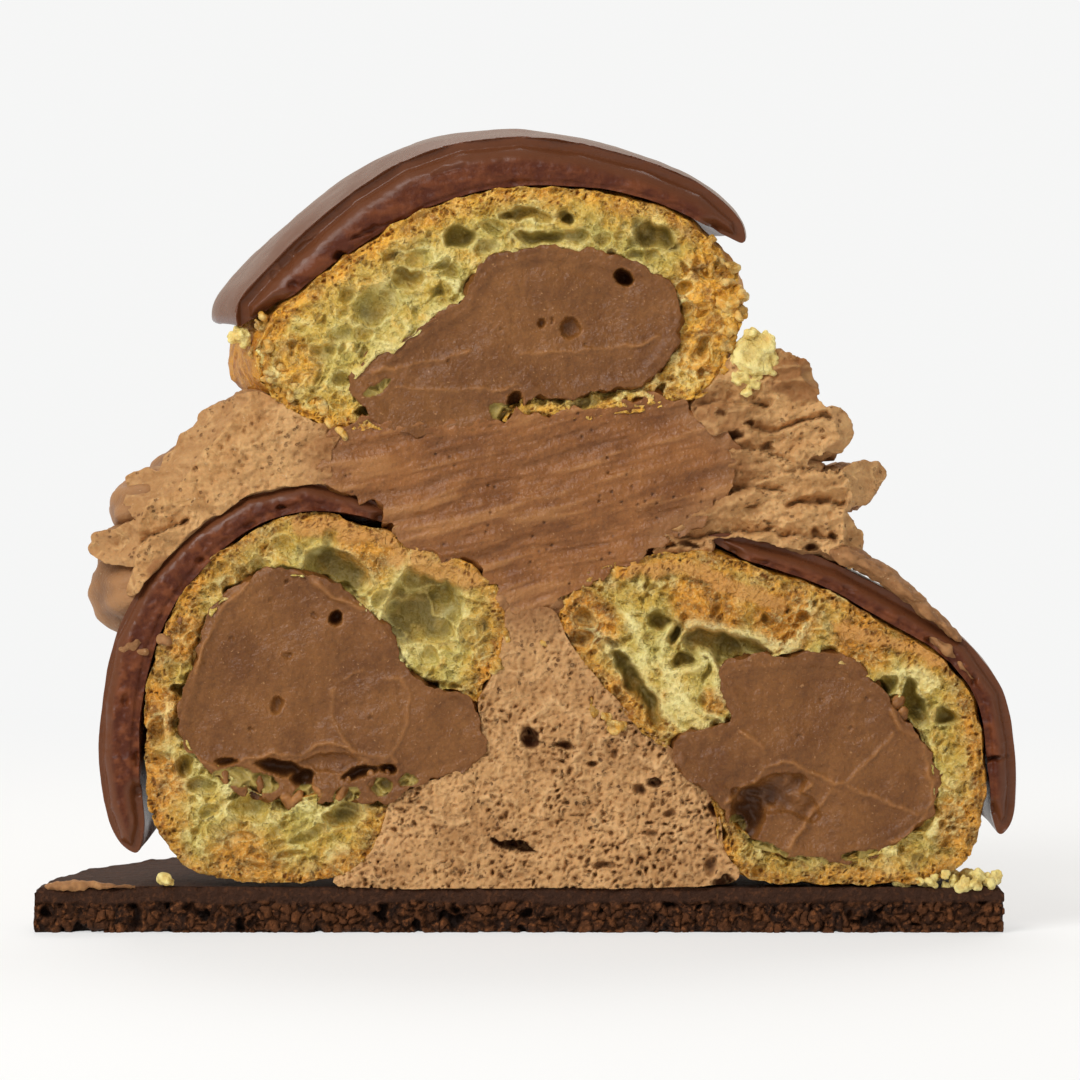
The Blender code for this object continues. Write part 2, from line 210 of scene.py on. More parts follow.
def bodyOf(node, kind="CATMULL_CLARK"):
    # a smooth copy of a CAD solid, drawn out in front of the cut so that a relief can trim it
    bm = weldedCopy(node)
    bmesh.ops.join_triangles(
        bm, faces=bm.faces, angle_face_threshold=quadAngle, angle_shape_threshold=math.pi
    )
    front = frontFaces(bm)
    if front:
        drawn = bmesh.ops.extrude_face_region(bm, geom=front)["geom"]
        ends = [v for v in drawn if isinstance(v, bmesh.types.BMVert)]
        bmesh.ops.translate(bm, vec=(0, -drawnOut, 0), verts=ends)
        bmesh.ops.delete(bm, geom=[f for f in front if f.is_valid], context="FACES")
    bmesh.ops.recalc_face_normals(bm, faces=bm.faces)
    return smoothed(show(node + "_body", meshFrom(bm, node)), 3, kind)


def cutOutline(node):
    # the edges round the cut face of a node, as (ax, az, bx, bz)
    bm = weldedCopy(node)
    front = set(frontFaces(bm))
    rim = [e for e in bm.edges if sum(f in front for f in e.link_faces) == 1]
    segments = [tuple(c / mm for v in e.verts for c in (v.co.x, v.co.z)) for e in rim]
    bm.free()
    return segments


def splitOutline(node, inner, gap=0.6):
    # the outline of a shell, parted into what faces outwards and what faces its filling
    other = cutOutline(inner)
    outside, inside = [], []
    for segment in cutOutline(node):
        x, z = np.array([(segment[0] + segment[2]) / 2]), np.array([(segment[1] + segment[3]) / 2])
        (inside if segmentDistance(x, z, other)[0] < gap else outside).append(segment)
    return outside, inside


def reliefBlock(node, relief, step, margin=1.2):
    # a block behind the cut plane whose front is the relief, over the box of the node
    low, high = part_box(node)
    x0, x1 = low.x / mm - margin, high.x / mm + margin
    z0, z1 = low.z / mm - margin, high.z / mm + margin
    bm = bmesh.new()
    bmesh.ops.create_grid(bm, x_segments=int((x1 - x0) / step), y_segments=int((z1 - z0) / step), size=0.5)
    rim = [e for e in bm.edges if e.is_boundary]
    drawn = bmesh.ops.extrude_edge_only(bm, edges=rim)["geom"]
    bmesh.ops.translate(bm, vec=(0, 0, -1), verts=[v for v in drawn if isinstance(v, bmesh.types.BMVert)])
    bmesh.ops.holes_fill(bm, edges=[e for e in bm.edges if e.is_boundary])
    mesh = meshFrom(bm, "relief")
    grid = positions(mesh)
    x, z = x0 + (grid[:, 0] + 0.5) * (x1 - x0), z0 + (grid[:, 1] + 0.5) * (z1 - z0)
    behind = grid[:, 2] < -0.5
    depth = np.where(behind, (high.y - cutY) / mm + 5, relief(x, z)["depth"])
    setPositions(mesh, np.stack([x * mm, cutY + depth * mm, z * mm], 1))
    if mesh.polygons[0].normal.y > 0:
        mesh.flip_normals()
    return show(node + "_relief", mesh)


def withoutSpecks(piece, smallest=400):
    # loose crumbs that the cut leaves in the air are taken away
    bm = bmesh.new()
    bm.from_mesh(piece.data)
    bm.verts.ensure_lookup_table()
    seen, specks = set(), []
    for start in bm.verts:
        if start.index in seen:
            continue
        seen.add(start.index)
        island, edge = [start], [start]
        while edge:
            for link in edge.pop().link_edges:
                for v in link.verts:
                    if v.index not in seen:
                        seen.add(v.index)
                        island.append(v)
                        edge.append(v)
        if len(island) < smallest:
            specks += island
    if specks:
        bmesh.ops.delete(bm, geom=specks, context="VERTS")
        bm.to_mesh(piece.data)
    bm.free()
    return piece


def painted(piece, name, red, green, blue):
    layer = piece.data.color_attributes.new(name=name, type="FLOAT_COLOR", domain="POINT")
    values = np.stack([red, green, blue, np.ones_like(red)], 1).clip(0, 1)
    layer.data.foreach_set("color", values.astype(np.float32).ravel())


def carved(node, body, relief, step, outside, material, slot):
    # body trimmed by its relief; relief gives depth and masks, outside gives the masks of the skin
    isCut = bool(cutOutline(node))
    if isCut:
        trimmed(body, reliefBlock(node, relief, step))
    withoutSpecks(body)
    x, y, z = positions(body.data).T / mm
    here = relief(x, z) if isCut else {"depth": np.full_like(x, -99)}
    onCut = 1 - smoothStep(0.02, 0.08, np.abs(y - cutY / mm - here["depth"]))
    skin = outside(x, y, z)
    # extra is a bun's pores (painted shade), a cream's browner edge, or a glaze's rounded shoulder
    for name, keys in (("look", ("crust", "hollow", "pale")), ("smearFaceExtra", ("smear", "face", "extra"))):
        masks = []
        for key in keys:
            value = onCut if key == "face" else here.get(key, np.zeros_like(x))
            masks.append(value * onCut + skin.get(key, np.zeros_like(x)) * (1 - onCut))
        painted(body, name, *masks)
    return finished(body, node + "_piece", material, slot, node)


def finished(piece, name, material, slot, *nodes):
    piece.name = name
    piece.data.shade_smooth()
    piece.data.materials.clear()
    piece.data.materials.append(material)
    if nodes:
        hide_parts(*nodes)
    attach(piece, "root")
    print(piece.name, len(piece.data.polygons), "faces", flush=True)
    return piece


# material nodes
def added(tree, kind, links=None, **settings):
    made = tree.nodes.new(kind)
    for key, value in settings.items():
        setattr(made, key, value)
    for key, value in (links or {}).items():
        if isinstance(value, bpy.types.NodeSocket):
            tree.links.new(value, made.inputs[key])
        else:
            made.inputs[key].default_value = value
    return made


def mixed(tree, share, first, second):
    made = tree.nodes.new("ShaderNodeMix")
    made.data_type = "RGBA"
    for slot, value in ((0, share), (6, first), (7, second)):
        if isinstance(value, bpy.types.NodeSocket):
            tree.links.new(value, made.inputs[slot])
        else:
            made.inputs[slot].default_value = (*value, 1) if isinstance(value, tuple) else value
    return made.outputs[2]


def calculated(tree, operation, first, second):
    made = tree.nodes.new("ShaderNodeMath")
    made.operation = operation
    for slot, value in enumerate((first, second)):
        if isinstance(value, bpy.types.NodeSocket):
            tree.links.new(value, made.inputs[slot])
        else:
            made.inputs[slot].default_value = value
    return made.outputs[0]


def grain(tree, place, size, low, high, detail=3.0, rough=0.5):
    # 0 to 1 from noise of that size in mm, with the share between low and high stretched out
    field = added(tree, "ShaderNodeTexNoise", {
        "Vector": place, "Scale": 1 / (size * mm), "Detail": detail, "Roughness": rough,
    })
    spread = added(tree, "ShaderNodeMapRange", {
        "Value": field.outputs["Fac"], "From Min": low, "From Max": high,
    })
    return spread.outputs["Result"]


def cells(tree, place, size, low, high, feature="DISTANCE_TO_EDGE"):
    # size in mm; with the edge distance 0 is a wall and 1 a cell, with F1 0 is a small round pore
    drift = added(tree, "ShaderNodeTexNoise", {
        "Vector": place, "Scale": 1 / (size * 1.6 * mm), "Detail": 2.0,
    })
    shift = added(tree, "ShaderNodeVectorMath", {
        0: drift.outputs["Color"], 1: (0.9 * size * mm,) * 3,
    }, operation="MULTIPLY")
    moved = added(tree, "ShaderNodeVectorMath", {0: place, 1: shift.outputs["Vector"]}, operation="ADD")
    field = added(tree, "ShaderNodeTexVoronoi", {
        "Vector": moved.outputs["Vector"], "Scale": 1 / (size * mm),
    }, feature=feature)
    spread = added(tree, "ShaderNodeMapRange", {
        "Value": field.outputs["Distance"], "From Min": low, "From Max": high,
    }, interpolation_type="SMOOTHSTEP")
    return spread.outputs["Result"]


def startMaterial(name, roughness, specular):
    made = bpy.data.materials.new(name)
    made.use_nodes = True
    tree = made.node_tree
    shader = tree.nodes["Principled BSDF"]
    shader.inputs["Roughness"].default_value = roughness
    shader.inputs["Specular IOR Level"].default_value = specular
    place = added(tree, "ShaderNodeTexCoord").outputs["Object"]
    return made, tree, shader, place


def masksOf(tree, name):
    paint = added(tree, "ShaderNodeAttribute", attribute_name=name)
    parts = added(tree, "ShaderNodeSeparateColor", {"Color": paint.outputs["Color"]})
    return parts.outputs


def setBump(tree, shader, layers):
    # layers of (height socket, height in mm), each bump feeding the next
    before = None
    for height, size in layers:
        links = {"Height": height, "Distance": size * mm, "Strength": 1.0}
        if before:
            links["Normal"] = before
        before = added(tree, "ShaderNodeBump", links).outputs["Normal"]
    tree.links.new(before, shader.inputs["Normal"])


def setGlow(shader, weight, radius, scale=1.0):
    shader.inputs["Subsurface Weight"].default_value = weight
    shader.inputs["Subsurface Radius"].default_value = radius
    shader.inputs["Subsurface Scale"].default_value = scale * mm


# camera, light and floor
view = {
    "distance": 550 * mm, "height": 62 * mm, "middle": (1.34 * mm, 36.5 * mm), "width": 99.8 * mm,
    "sensor": 36,
}
studio = {
    "backdrop": (0.92, 0.922, 0.918), "room": (0.40, 0.39, 0.37), "behind": (0.80, 0.72, 0.63),
    "floor": (0.93, 0.93, 0.92), "nearFloor": 0.06, "farFloor": 0.26, "floorGlow": 0.55,
    "aim": (0, 0, 0.04),
    "lights": {  # place, size and power
        "key": ((-0.32, -0.42, 0.42), (0.35, 0.35), 3.1),
        "fill": ((0.5, -0.45, 0.25), (0.4, 0.4), 0.35),
        "back": ((0.05, 0.35, 0.5), (0.5, 0.3), 1.4),
    },
}


def makeCamera():
    data = bpy.data.cameras.new("Camera")
    camera = bpy.data.objects.new("Camera", data)
    bpy.context.scene.collection.objects.link(camera)
    x, z = view["middle"]
    camera.location = (x, cutY - view["distance"], view["height"])
    aim = Vector((x, cutY, z)) - camera.location
    camera.rotation_euler = aim.to_track_quat("-Z", "Y").to_euler()
    data.sensor_width = view["sensor"]
    data.lens = view["sensor"] * aim.length / view["width"]
    data.clip_end = 10
    bpy.context.scene.camera = camera


def areaLight(name, place, size, power):
    data = bpy.data.lights.new(name, "AREA")
    data.shape = "RECTANGLE"
    data.size, data.size_y = size
    data.energy = power
    light = bpy.data.objects.new(name, data)
    bpy.context.scene.collection.objects.link(light)
    light.location = place
    toAim = Vector(studio["aim"]) - Vector(place)
    light.rotation_euler = toAim.to_track_quat("-Z", "Y").to_euler()


def makeStudio():
    world = bpy.data.worlds.new("Studio")
    bpy.context.scene.world = world
    world.use_nodes = True
    tree = world.node_tree
    seen = added(tree, "ShaderNodeLightPath").outputs["Is Camera Ray"]
    way = added(tree, "ShaderNodeSeparateXYZ", {0: added(tree, "ShaderNodeTexCoord").outputs["Generated"]})
    behind = added(tree, "ShaderNodeMapRange", {
        "Value": way.outputs["Y"], "From Min": 0.15, "From Max": 0.75, "To Max": 0.9,
    }).outputs["Result"]
    colour = mixed(tree, behind, studio["room"], studio["behind"])
    colour = mixed(tree, seen, colour, studio["backdrop"])
    tree.links.new(colour, tree.nodes["Background"].inputs["Color"])
    bm = bmesh.new()
    bmesh.ops.create_grid(bm, x_segments=1, y_segments=1, size=3)
    floor = show("floor", meshFrom(bm, "floor"))
    made, tree, shader, place = startMaterial("floor", 0.7, 0.2)
    shader.inputs["Base Color"].default_value = (*studio["floor"], 1)
    # the floor fades into the backdrop further out
    away = added(tree, "ShaderNodeVectorMath", {0: place}, operation="LENGTH").outputs["Value"]
    fade = added(tree, "ShaderNodeMapRange", {
        "Value": away, "From Min": studio["nearFloor"], "From Max": studio["farFloor"],
        "To Min": studio["floorGlow"],
    }, interpolation_type="SMOOTHSTEP").outputs["Result"]
    glow = added(tree, "ShaderNodeEmission", {"Color": (*studio["backdrop"], 1)})
    blend = added(tree, "ShaderNodeMixShader", {0: fade, 1: shader.outputs[0], 2: glow.outputs[0]})
    tree.links.new(blend.outputs[0], tree.nodes["Material Output"].inputs["Surface"])
    floor.data.materials.append(made)
    bpy.context.scene.view_settings.view_transform = "Standard"
    for name, (place, size, power) in studio["lights"].items():
        areaLight(name, place, size, power)


makeCamera()
makeStudio()
print("camera, light and floor are set", flush=True)

# the three choux buns: pits are hollows, folds are the skins between hollows, and smears are cream that
# the knife left; each baked spot is (x, z, reach, share)
leftBun = {
    "seed": 11, "crustWidth": 1.15, "warmth": 0.58,
    "colours": {"gold": (0.66, 0.26, 0.018), "brown": (0.21, 0.064, 0.005), "skinShade": 0.2},
    "baked": [
        (-14.5, 36, 4, 0.8), (-26, 5.8, 5, 0.8), (-3, 24, 2.5, 0.7), (-34.2, 20.5, 3.4, 0.95),
        (-33.8, 14, 3.6, 0.9), (-31.5, 27.5, 3.2, 0.9), (-16, 5.4, 3.4, 0.8), (-27, 32.6, 2.4, 0.6),
    ],
    "foam": 1.5, "foamDepth": 1.15, "fine": 0.42, "fineDepth": 0.16,
    "pits": [
        (-9.1, 30.6, 3.7, 3.7, 0, 2.6), (-8.1, 31.1, 1.7, 1.7, 0, 3.3), (-11.0, 28.8, 2.2, 2, 0, 2.2),
        (-17.7, 33.8, 3.5, 2, -25, 2.2), (-24.6, 33.7, 1.4, 1.1, 0, 1), (-22.6, 35.8, 1, 1, 0, 0.9),
        (-27.4, 32.1, 0.74, 0.74, 0, 0.67), (-29.3, 29.8, 0.55, 0.65, 0, 0.5),
        (-31.0, 27.3, 0.65, 0.55, 0, 0.5), (-32.3, 24.7, 0.55, 0.55, 0, 0.5),
        (-32.1, 22.6, 1, 0.92, 0, 1.8), (-34.1, 18.9, 0.74, 1.4, 0, 1.2),
        (-31.5, 15.9, 1.2, 0.92, 0, 1.5), (-34.1, 16.0, 0.74, 0.74, 0, 0.67),
        (-33.1, 14.8, 0.46, 0.46, 0, 0.42), (-30.0, 14.0, 1.3, 1, 0, 1.4),
        (-33.1, 13.3, 0.55, 0.55, 0, 0.5), (-23.6, 14.5, 2.8, 0.74, -20, 2.6),
        (-22.0, 12.1, 0.74, 1.1, 0, 1.6), (-18.6, 12.5, 1.1, 0.55, 0, 1.8),
        (-15.6, 13.2, 0.83, 0.46, 0, 0.42), (-13.4, 13.8, 0.55, 0.83, 0, 1.6),
        (-25.6, 11.5, 2, 1.3, 0, 1.3), (-29.3, 11.1, 1.2, 0.92, 0, 1), (-17.0, 10.8, 2.3, 1.3, 15, 1.9),
        (-20.2, 9.1, 2, 0.55, 20, 1.2), (-21.9, 7.4, 1.4, 0.37, 0, 0.8),
        (-26.4, 8.8, 1.7, 0.46, 10, 0.8), (-29.2, 7.9, 1.1, 0.46, 20, 0.6),
        (-24.3, 6.2, 1.5, 0.37, 5, 0.6), (-18.1, 6.2, 1.3, 0.37, -20, 0.6),
        (-9.0, 25.8, 0.92, 0.92, 0, 1), (-7.1, 27.0, 1, 0.83, 0, 0.9), (-4.8, 28.1, 1.1, 1, 0, 0.9),
        (-5.4, 26.1, 0.65, 0.65, 0, 0.58), (-3.8, 26.1, 0.55, 0.55, 0, 0.5),
        (-9.4, 22.0, 1.3, 1.1, 0, 2.2), (-5.3, 21.5, 0.28, 0.28, 0, 0.25),
        (-6.5, 22.1, 0.28, 0.28, 0, 0.25), (-13.0, 27.2, 1.5, 0.92, 0, 1.6),
        (-3.6, 23.0, 1.1, 0.65, 20, 2.2), (-13.4, 31.0, 0.83, 0.74, 0, 1.2),
        (-5.6, 31.9, 0.65, 0.83, 0, 0.7), (-4.2, 30.0, 0.55, 0.55, 0, 0.5),
    ],
    "folds": [],
    "smears": [[(-21, 38), (-16, 37.4), (-13, 36.6), (-11.5, 35)], [(-10, 34.6), (-5, 32.8)]],
}
rightBun = {
    "seed": 23, "crustWidth": 1.3, "warmth": 0.5,
    "colours": {"gold": (0.70, 0.28, 0.02), "brown": (0.22, 0.068, 0.005), "skinShade": 0.2},
    "baked": [
        (5.2, 28.6, 4.2, 0.95), (17, 30.5, 4.5, 0.9), (24, 29.4, 4.5, 0.9), (31, 27.2, 4, 0.9),
        (8.5, 21.5, 3, 0.9), (40.5, 10, 4, 0.8), (17.8, 21.8, 1.7, 0.8),
    ],
    "foam": 1.2, "foamDepth": 1.1, "fine": 0.4, "fineDepth": 0.16,
    "pits": [
        (5.4, 29.2, 1, 1.1, 45, 1.6), (5.3, 27.0, 1.1, 1.1, 0, 1.4), (3.3, 30.6, 0.55, 0.55, 0, 1),
        (4.1, 31.7, 0.46, 0.46, 0, 0.42), (8.0, 33.4, 0.46, 0.46, 0, 0.42),
        (6.3, 30.3, 0.55, 0.55, 0, 0.5), (6.1, 24.5, 0.46, 0.46, 0, 0.42),
        (6.9, 23.4, 0.37, 0.37, 0, 0.33), (7.8, 24.7, 0.46, 0.37, 0, 0.33),
        (8.4, 22.2, 0.65, 0.65, 0, 1), (9.0, 21.5, 0.55, 0.55, 0, 0.9),
        (9.8, 20.6, 0.46, 0.37, 0, 0.33), (10.6, 22.6, 4.6, 0.92, -52, 2.4),
        (8.0, 26.7, 0.74, 0.37, -40, 1.4), (9.3, 27.3, 0.55, 0.46, 0, 0.9),
        (12.4, 29.1, 1.7, 0.83, -30, 2.2), (13.5, 27.7, 0.92, 0.92, 0, 2.6),
        (14.5, 25.3, 1.1, 0.74, 40, 2.4), (18.7, 26.3, 4.3, 1.7, -15, 2.6),
        (25.5, 25.9, 0.92, 0.55, 0, 1.6), (28.2, 25.7, 0.92, 0.92, 0, 1.1),
        (21.8, 27.7, 0.92, 0.65, 0, 0.6), (31.0, 25.5, 0.83, 0.65, 0, 0.6),
        (33.1, 24.8, 0.74, 0.55, 0, 0.6), (33.1, 23.2, 1.1, 0.92, 0, 1.6), (36.0, 21.4, 1, 2.5, 18, 3),
        (39.0, 20.1, 1.2, 0.92, 0, 2.2), (38.6, 17.4, 0.37, 0.37, 0, 0.33),
        (39.5, 16.4, 0.46, 0.46, 0, 0.42), (40.4, 15.2, 0.55, 0.55, 0, 0.5),
        (39.0, 15.2, 0.37, 0.37, 0, 0.33), (38.4, 15.9, 0.46, 0.83, 0, 0.42),
        (40.6, 13.4, 0.46, 0.46, 0, 0.42), (38.9, 12.8, 0.55, 0.74, 0, 0.5),
        (40.0, 17.8, 0.37, 0.37, 0, 0.33), (40.9, 16.9, 0.37, 0.37, 0, 0.33),
        (37.8, 11.1, 0.55, 0.74, 0, 0.7), (18.0, 8.9, 0.46, 0.46, 0, 1.6),
        (21.6, 5.7, 0.92, 0.46, 0, 1), (35.0, 8.0, 0.46, 0.37, 0, 1), (32.3, 7.8, 0.74, 0.37, 0, 1),
        (30.3, 7.9, 1.1, 0.28, 0, 0.8), (16.6, 24.2, 0.37, 0.92, 0, 1), (16.5, 21.9, 0.74, 0.55, 30, 1),
        (17.3, 20.1, 0.46, 0.46, 0, 0.42), (18.2, 21.5, 0.37, 0.46, 0, 0.33),
        (23.5, 29.8, 0.65, 0.37, -15, 0.4), (27.2, 28.0, 0.55, 0.37, -15, 0.4),
        (16.1, 32.1, 0.74, 0.37, -5, 0.3),
    ],
    "folds": [
        [(9.3, 29.7), (10.1, 28.0), (10.9, 26.1), (10.7, 24.8), (11.5, 22.6), (12.6, 21.3),
         (14.1, 19.8), (15.5, 18.4)],
        [(13.1, 28.7), (12.8, 26.7), (13.1, 24.8), (13.8, 22.9), (14.7, 21.3), (15.9, 19.8),
         (16.9, 19.4)],
        [(13.3, 25.3), (13.7, 24.2), (14.8, 24.6), (15.8, 24.9), (16.2, 26.0), (16.8, 25.7),
         (17.6, 24.2), (18.2, 23.1), (19.0, 21.7), (19.6, 20.1)],
        [(13.9, 23.1), (14.6, 22.1), (15.2, 21.2), (16.5, 20.6), (17.5, 20.3), (18.7, 19.5)],
        [(20.2, 24.0), (20.9, 24.7), (22.1, 25.2), (23.2, 25.6), (25.4, 26.8)],
        [(15.2, 28.6), (17.5, 28.2), (19.8, 28.0), (22.1, 27.3)],
    ],
    "smears": [
        [(9.8, 33.9), (16.2, 33.5), (19, 31.8), (23.1, 30.7)], [(29.3, 28.1), (34, 26.8), (38.6, 25.3)],
    ],
}
topBun = {
    "seed": 37, "crustWidth": 0.95, "warmth": 0.3,
    "colours": {"gold": (0.86, 0.40, 0.035), "brown": (0.36, 0.12, 0.010), "skinShade": 0.5},
    "baked": [(16.5, 60, 4, 0.9), (16.5, 54.5, 4, 0.9), (-21.5, 53, 3, 0.7), (12, 51, 3, 0.8)],
    "foam": 1.4, "foamDepth": 1.1, "fine": 0.4, "fineDepth": 0.16,
    "pits": [
        (-10.3, 62.4, 1.8, 1.2, 30, 1.1), (-10.6, 60.6, 1.6, 0.92, 20, 2),
        (-14.2, 58.1, 2.4, 1.7, 40, 1.6), (-17.2, 55.5, 1.3, 1.1, 0, 1.1),
        (-15.4, 55.3, 1.3, 0.83, 0, 1.1), (-16.7, 57.6, 0.74, 0.55, 0, 0.7),
        (-6.0, 64.4, 1.8, 1.1, 0, 2.4), (0.3, 66.5, 2.2, 0.74, 0, 1.6),
        (-1.2, 66.5, 0.74, 0.55, 0, 1.8), (3.9, 66.4, 0.65, 0.55, 0, 2.4),
        (1.6, 64.6, 2.6, 0.74, 0, 1.8), (4.5, 64.6, 1.5, 0.83, 0, 1.4), (7.1, 64.5, 0.92, 0.65, 0, 1.1),
        (8.8, 64.6, 0.65, 0.65, 0, 0.9), (8.2, 62.8, 1.1, 0.65, -40, 1.2),
        (-2.6, 65.3, 1.1, 0.83, 0, 1.2), (-3.7, 63.3, 0.92, 0.55, 30, 1),
        (-7.9, 61.9, 0.92, 0.55, 30, 1), (11.7, 64.6, 2, 1.3, -20, 2.2),
        (10.6, 62.6, 0.74, 0.74, 0, 1.2), (-21.5, 54.0, 0.46, 0.74, 0, 0.9),
        (-18.7, 54.0, 1.3, 0.92, 20, 1.2), (-16.9, 51.6, 0.65, 0.74, 0, 1),
        (-13.4, 47.9, 0.92, 0.83, 0, 2.4), (-14.9, 48.6, 0.83, 0.46, 0, 1.8),
        (16.7, 61.4, 0.46, 0.74, 0, 1), (14.4, 59.9, 0.83, 0.55, 0, 1.2),
        (15.8, 55.9, 0.28, 0.55, 0, 0.25), (14.6, 54.2, 0.46, 0.28, 0, 0.25),
        (16.2, 54.1, 1.3, 0.55, 65, 1.2), (14.6, 51.6, 0.46, 0.37, 0, 0.33),
        (13.5, 62.2, 0.55, 0.37, 0, 0.33), (15.0, 58.1, 0.46, 0.55, 0, 0.7),
        (17.0, 57.8, 0.37, 0.55, 0, 0.33), (18.0, 60.1, 0.46, 0.37, 0, 0.33),
        (-20.8, 51.7, 0.65, 0.46, 0, 0.6), (-19.5, 49.4, 0.74, 0.46, 20, 0.6),
        (-17.1, 49.0, 0.65, 0.37, 20, 0.6), (-22.3, 55.9, 0.55, 0.74, 0, 0.5),
        (-1.3, 49.7, 0.74, 1.1, 0, 1.8), (-1.3, 48.0, 0.65, 0.37, 0, 1.2),
        (-2.8, 49.9, 0.28, 0.28, 0, 0.25), (0.2, 47.7, 0.28, 0.28, 0, 0.25),
        (1.4, 49.4, 0.55, 0.37, 0, 1), (3.3, 49.5, 0.83, 0.37, 0, 1.4), (5.3, 49.1, 1, 0.74, 0, 1.6),
        (7.5, 50.0, 0.55, 0.65, 0, 1.3), (8.4, 47.7, 0.55, 0.55, 0, 1),
        (10.5, 49.4, 0.65, 0.46, 0, 1.2), (12.4, 50.2, 1, 0.55, 60, 1.6),
        (11.6, 48.3, 0.46, 0.46, 0, 1), (9.6, 48.7, 0.28, 0.28, 0, 0.25),
        (4.4, 46.9, 0.28, 0.28, 0, 0.25), (-4.9, 49.1, 0.92, 0.55, 0, 0.8),
        (-7.0, 48.5, 0.55, 0.37, 0, 0.33), (6.9, 48.0, 0.28, 0.28, 0, 0.25),
    ],
    "folds": [
        [(-15.5, 52.1), (-13.4, 53.5), (-11.0, 55.1), (-8.0, 57.4), (-5.1, 59.2), (-4.1, 61.2),
         (-1.8, 62.6), (0.5, 63.3), (3.6, 63.5), (5.4, 63.0), (6.6, 63.0), (7.9, 62.0), (8.9, 61.5),
         (9.7, 62.1), (10.5, 62.1), (12.1, 60.6), (13.5, 57.7)],
    ],
    "smears": [],
}
chouxColours = {
    "crumb": (0.53, 0.415, 0.095), "crumbWarm": (0.62, 0.395, 0.058), "pale": (0.95, 0.84, 0.38),
    # hollow is the colour of painted shade in the foam, and of random mottling on the skin
    "hollow": (0.135, 0.094, 0.015), "gold": (0.74, 0.30, 0.022), "brown": (0.25, 0.076, 0.006),
    # the cell colours are painted shade inside the fine cells of the cut foam
    "smear": (0.56, 0.26, 0.06), "bump": 0.14, "cell": (0.36, 0.27, 0.052),
    "bakedCellShade": (0.34, 0.12, 0.01), "cellShadeShare": 0.5,
}


def chouxMaterial(name, values):
    made, tree, shader, place = startMaterial(name, 0.48, 0.35)
    crust, hollow, pale = masksOf(tree, "look")[:3]
    smear, face, pores = masksOf(tree, "smearFaceExtra")[:3]
    colour = mixed(tree, grain(tree, place, 2.2, 0.35, 0.65), values["crumb"], values["crumbWarm"])
    stain = calculated(tree, "MULTIPLY", grain(tree, place, 2.8, 0.55, 0.72, 4.0, 0.6), 0.55)
    colour = mixed(tree, stain, colour, values["gold"])
    whiter = calculated(tree, "MULTIPLY", grain(tree, place, 1.7, 0.52, 0.66, 4.0, 0.65), 0.55)
    colour = mixed(tree, whiter, colour, values["pale"])
    baked = mixed(tree, grain(tree, place, 1.6, 0.44, 0.62, 5.0, 0.65), values["gold"], values["brown"])
    colour = mixed(tree, crust, colour, baked)
    # pale is partly the thin pale walls of the foam, partly painted highlight on rims and bulges
    colour = mixed(tree, pale, colour, values["pale"])
    # the finest foam, in two sizes, only where the bun was cut: its cells painted darker as painted shade
    fine = calculated(tree, "MULTIPLY", cells(tree, place, 1.3, 0, 0.2), cells(tree, place, 0.6, 0, 0.28))
    cellShade = calculated(tree, "MULTIPLY", calculated(tree, "MULTIPLY", fine, face), values["cellShadeShare"])
    cellShade = calculated(tree, "MULTIPLY", cellShade, calculated(tree, "SUBTRACT", 1.0, hollow))
    colour = mixed(tree, cellShade, colour, mixed(tree, crust, values["cell"], values["bakedCellShade"]))
    # hollow is painted shade in the foam, crumbs and flakes; on a bun's outer skin it is random mottling
    colour = mixed(tree, hollow, colour, values["hollow"])
    flecks = calculated(tree, "MULTIPLY", grain(tree, place, 0.25, 0.52, 0.7), 0.3)
    flecks = calculated(tree, "MULTIPLY", flecks, calculated(tree, "SUBTRACT", 1.0, hollow))
    colour = mixed(tree, flecks, colour, values["pale"])
    colour = mixed(tree, calculated(tree, "MULTIPLY", smear, 0.8), colour, values["smear"])
    # the crust's pores are painted brown: painted shade
    colour = mixed(tree, pores, colour, values["brown"])
    if "skinShade" in values:
        skin = calculated(tree, "MULTIPLY", calculated(tree, "SUBTRACT", 1.0, face), values["skinShade"])
        colour = mixed(tree, skin, colour, values["brown"])
    tree.links.new(colour, shader.inputs["Base Color"])
    walls = calculated(tree, "SUBTRACT", 1.0, cellShade)
    setBump(tree, shader, [
        (walls, 0.2), (grain(tree, place, 0.5, 0.3, 0.7), values["bump"]),
        (grain(tree, place, 0.16, 0.3, 0.7), 0.04),
    ])
    setGlow(shader, 0.18, (1.0, 0.75, 0.3))
    return made


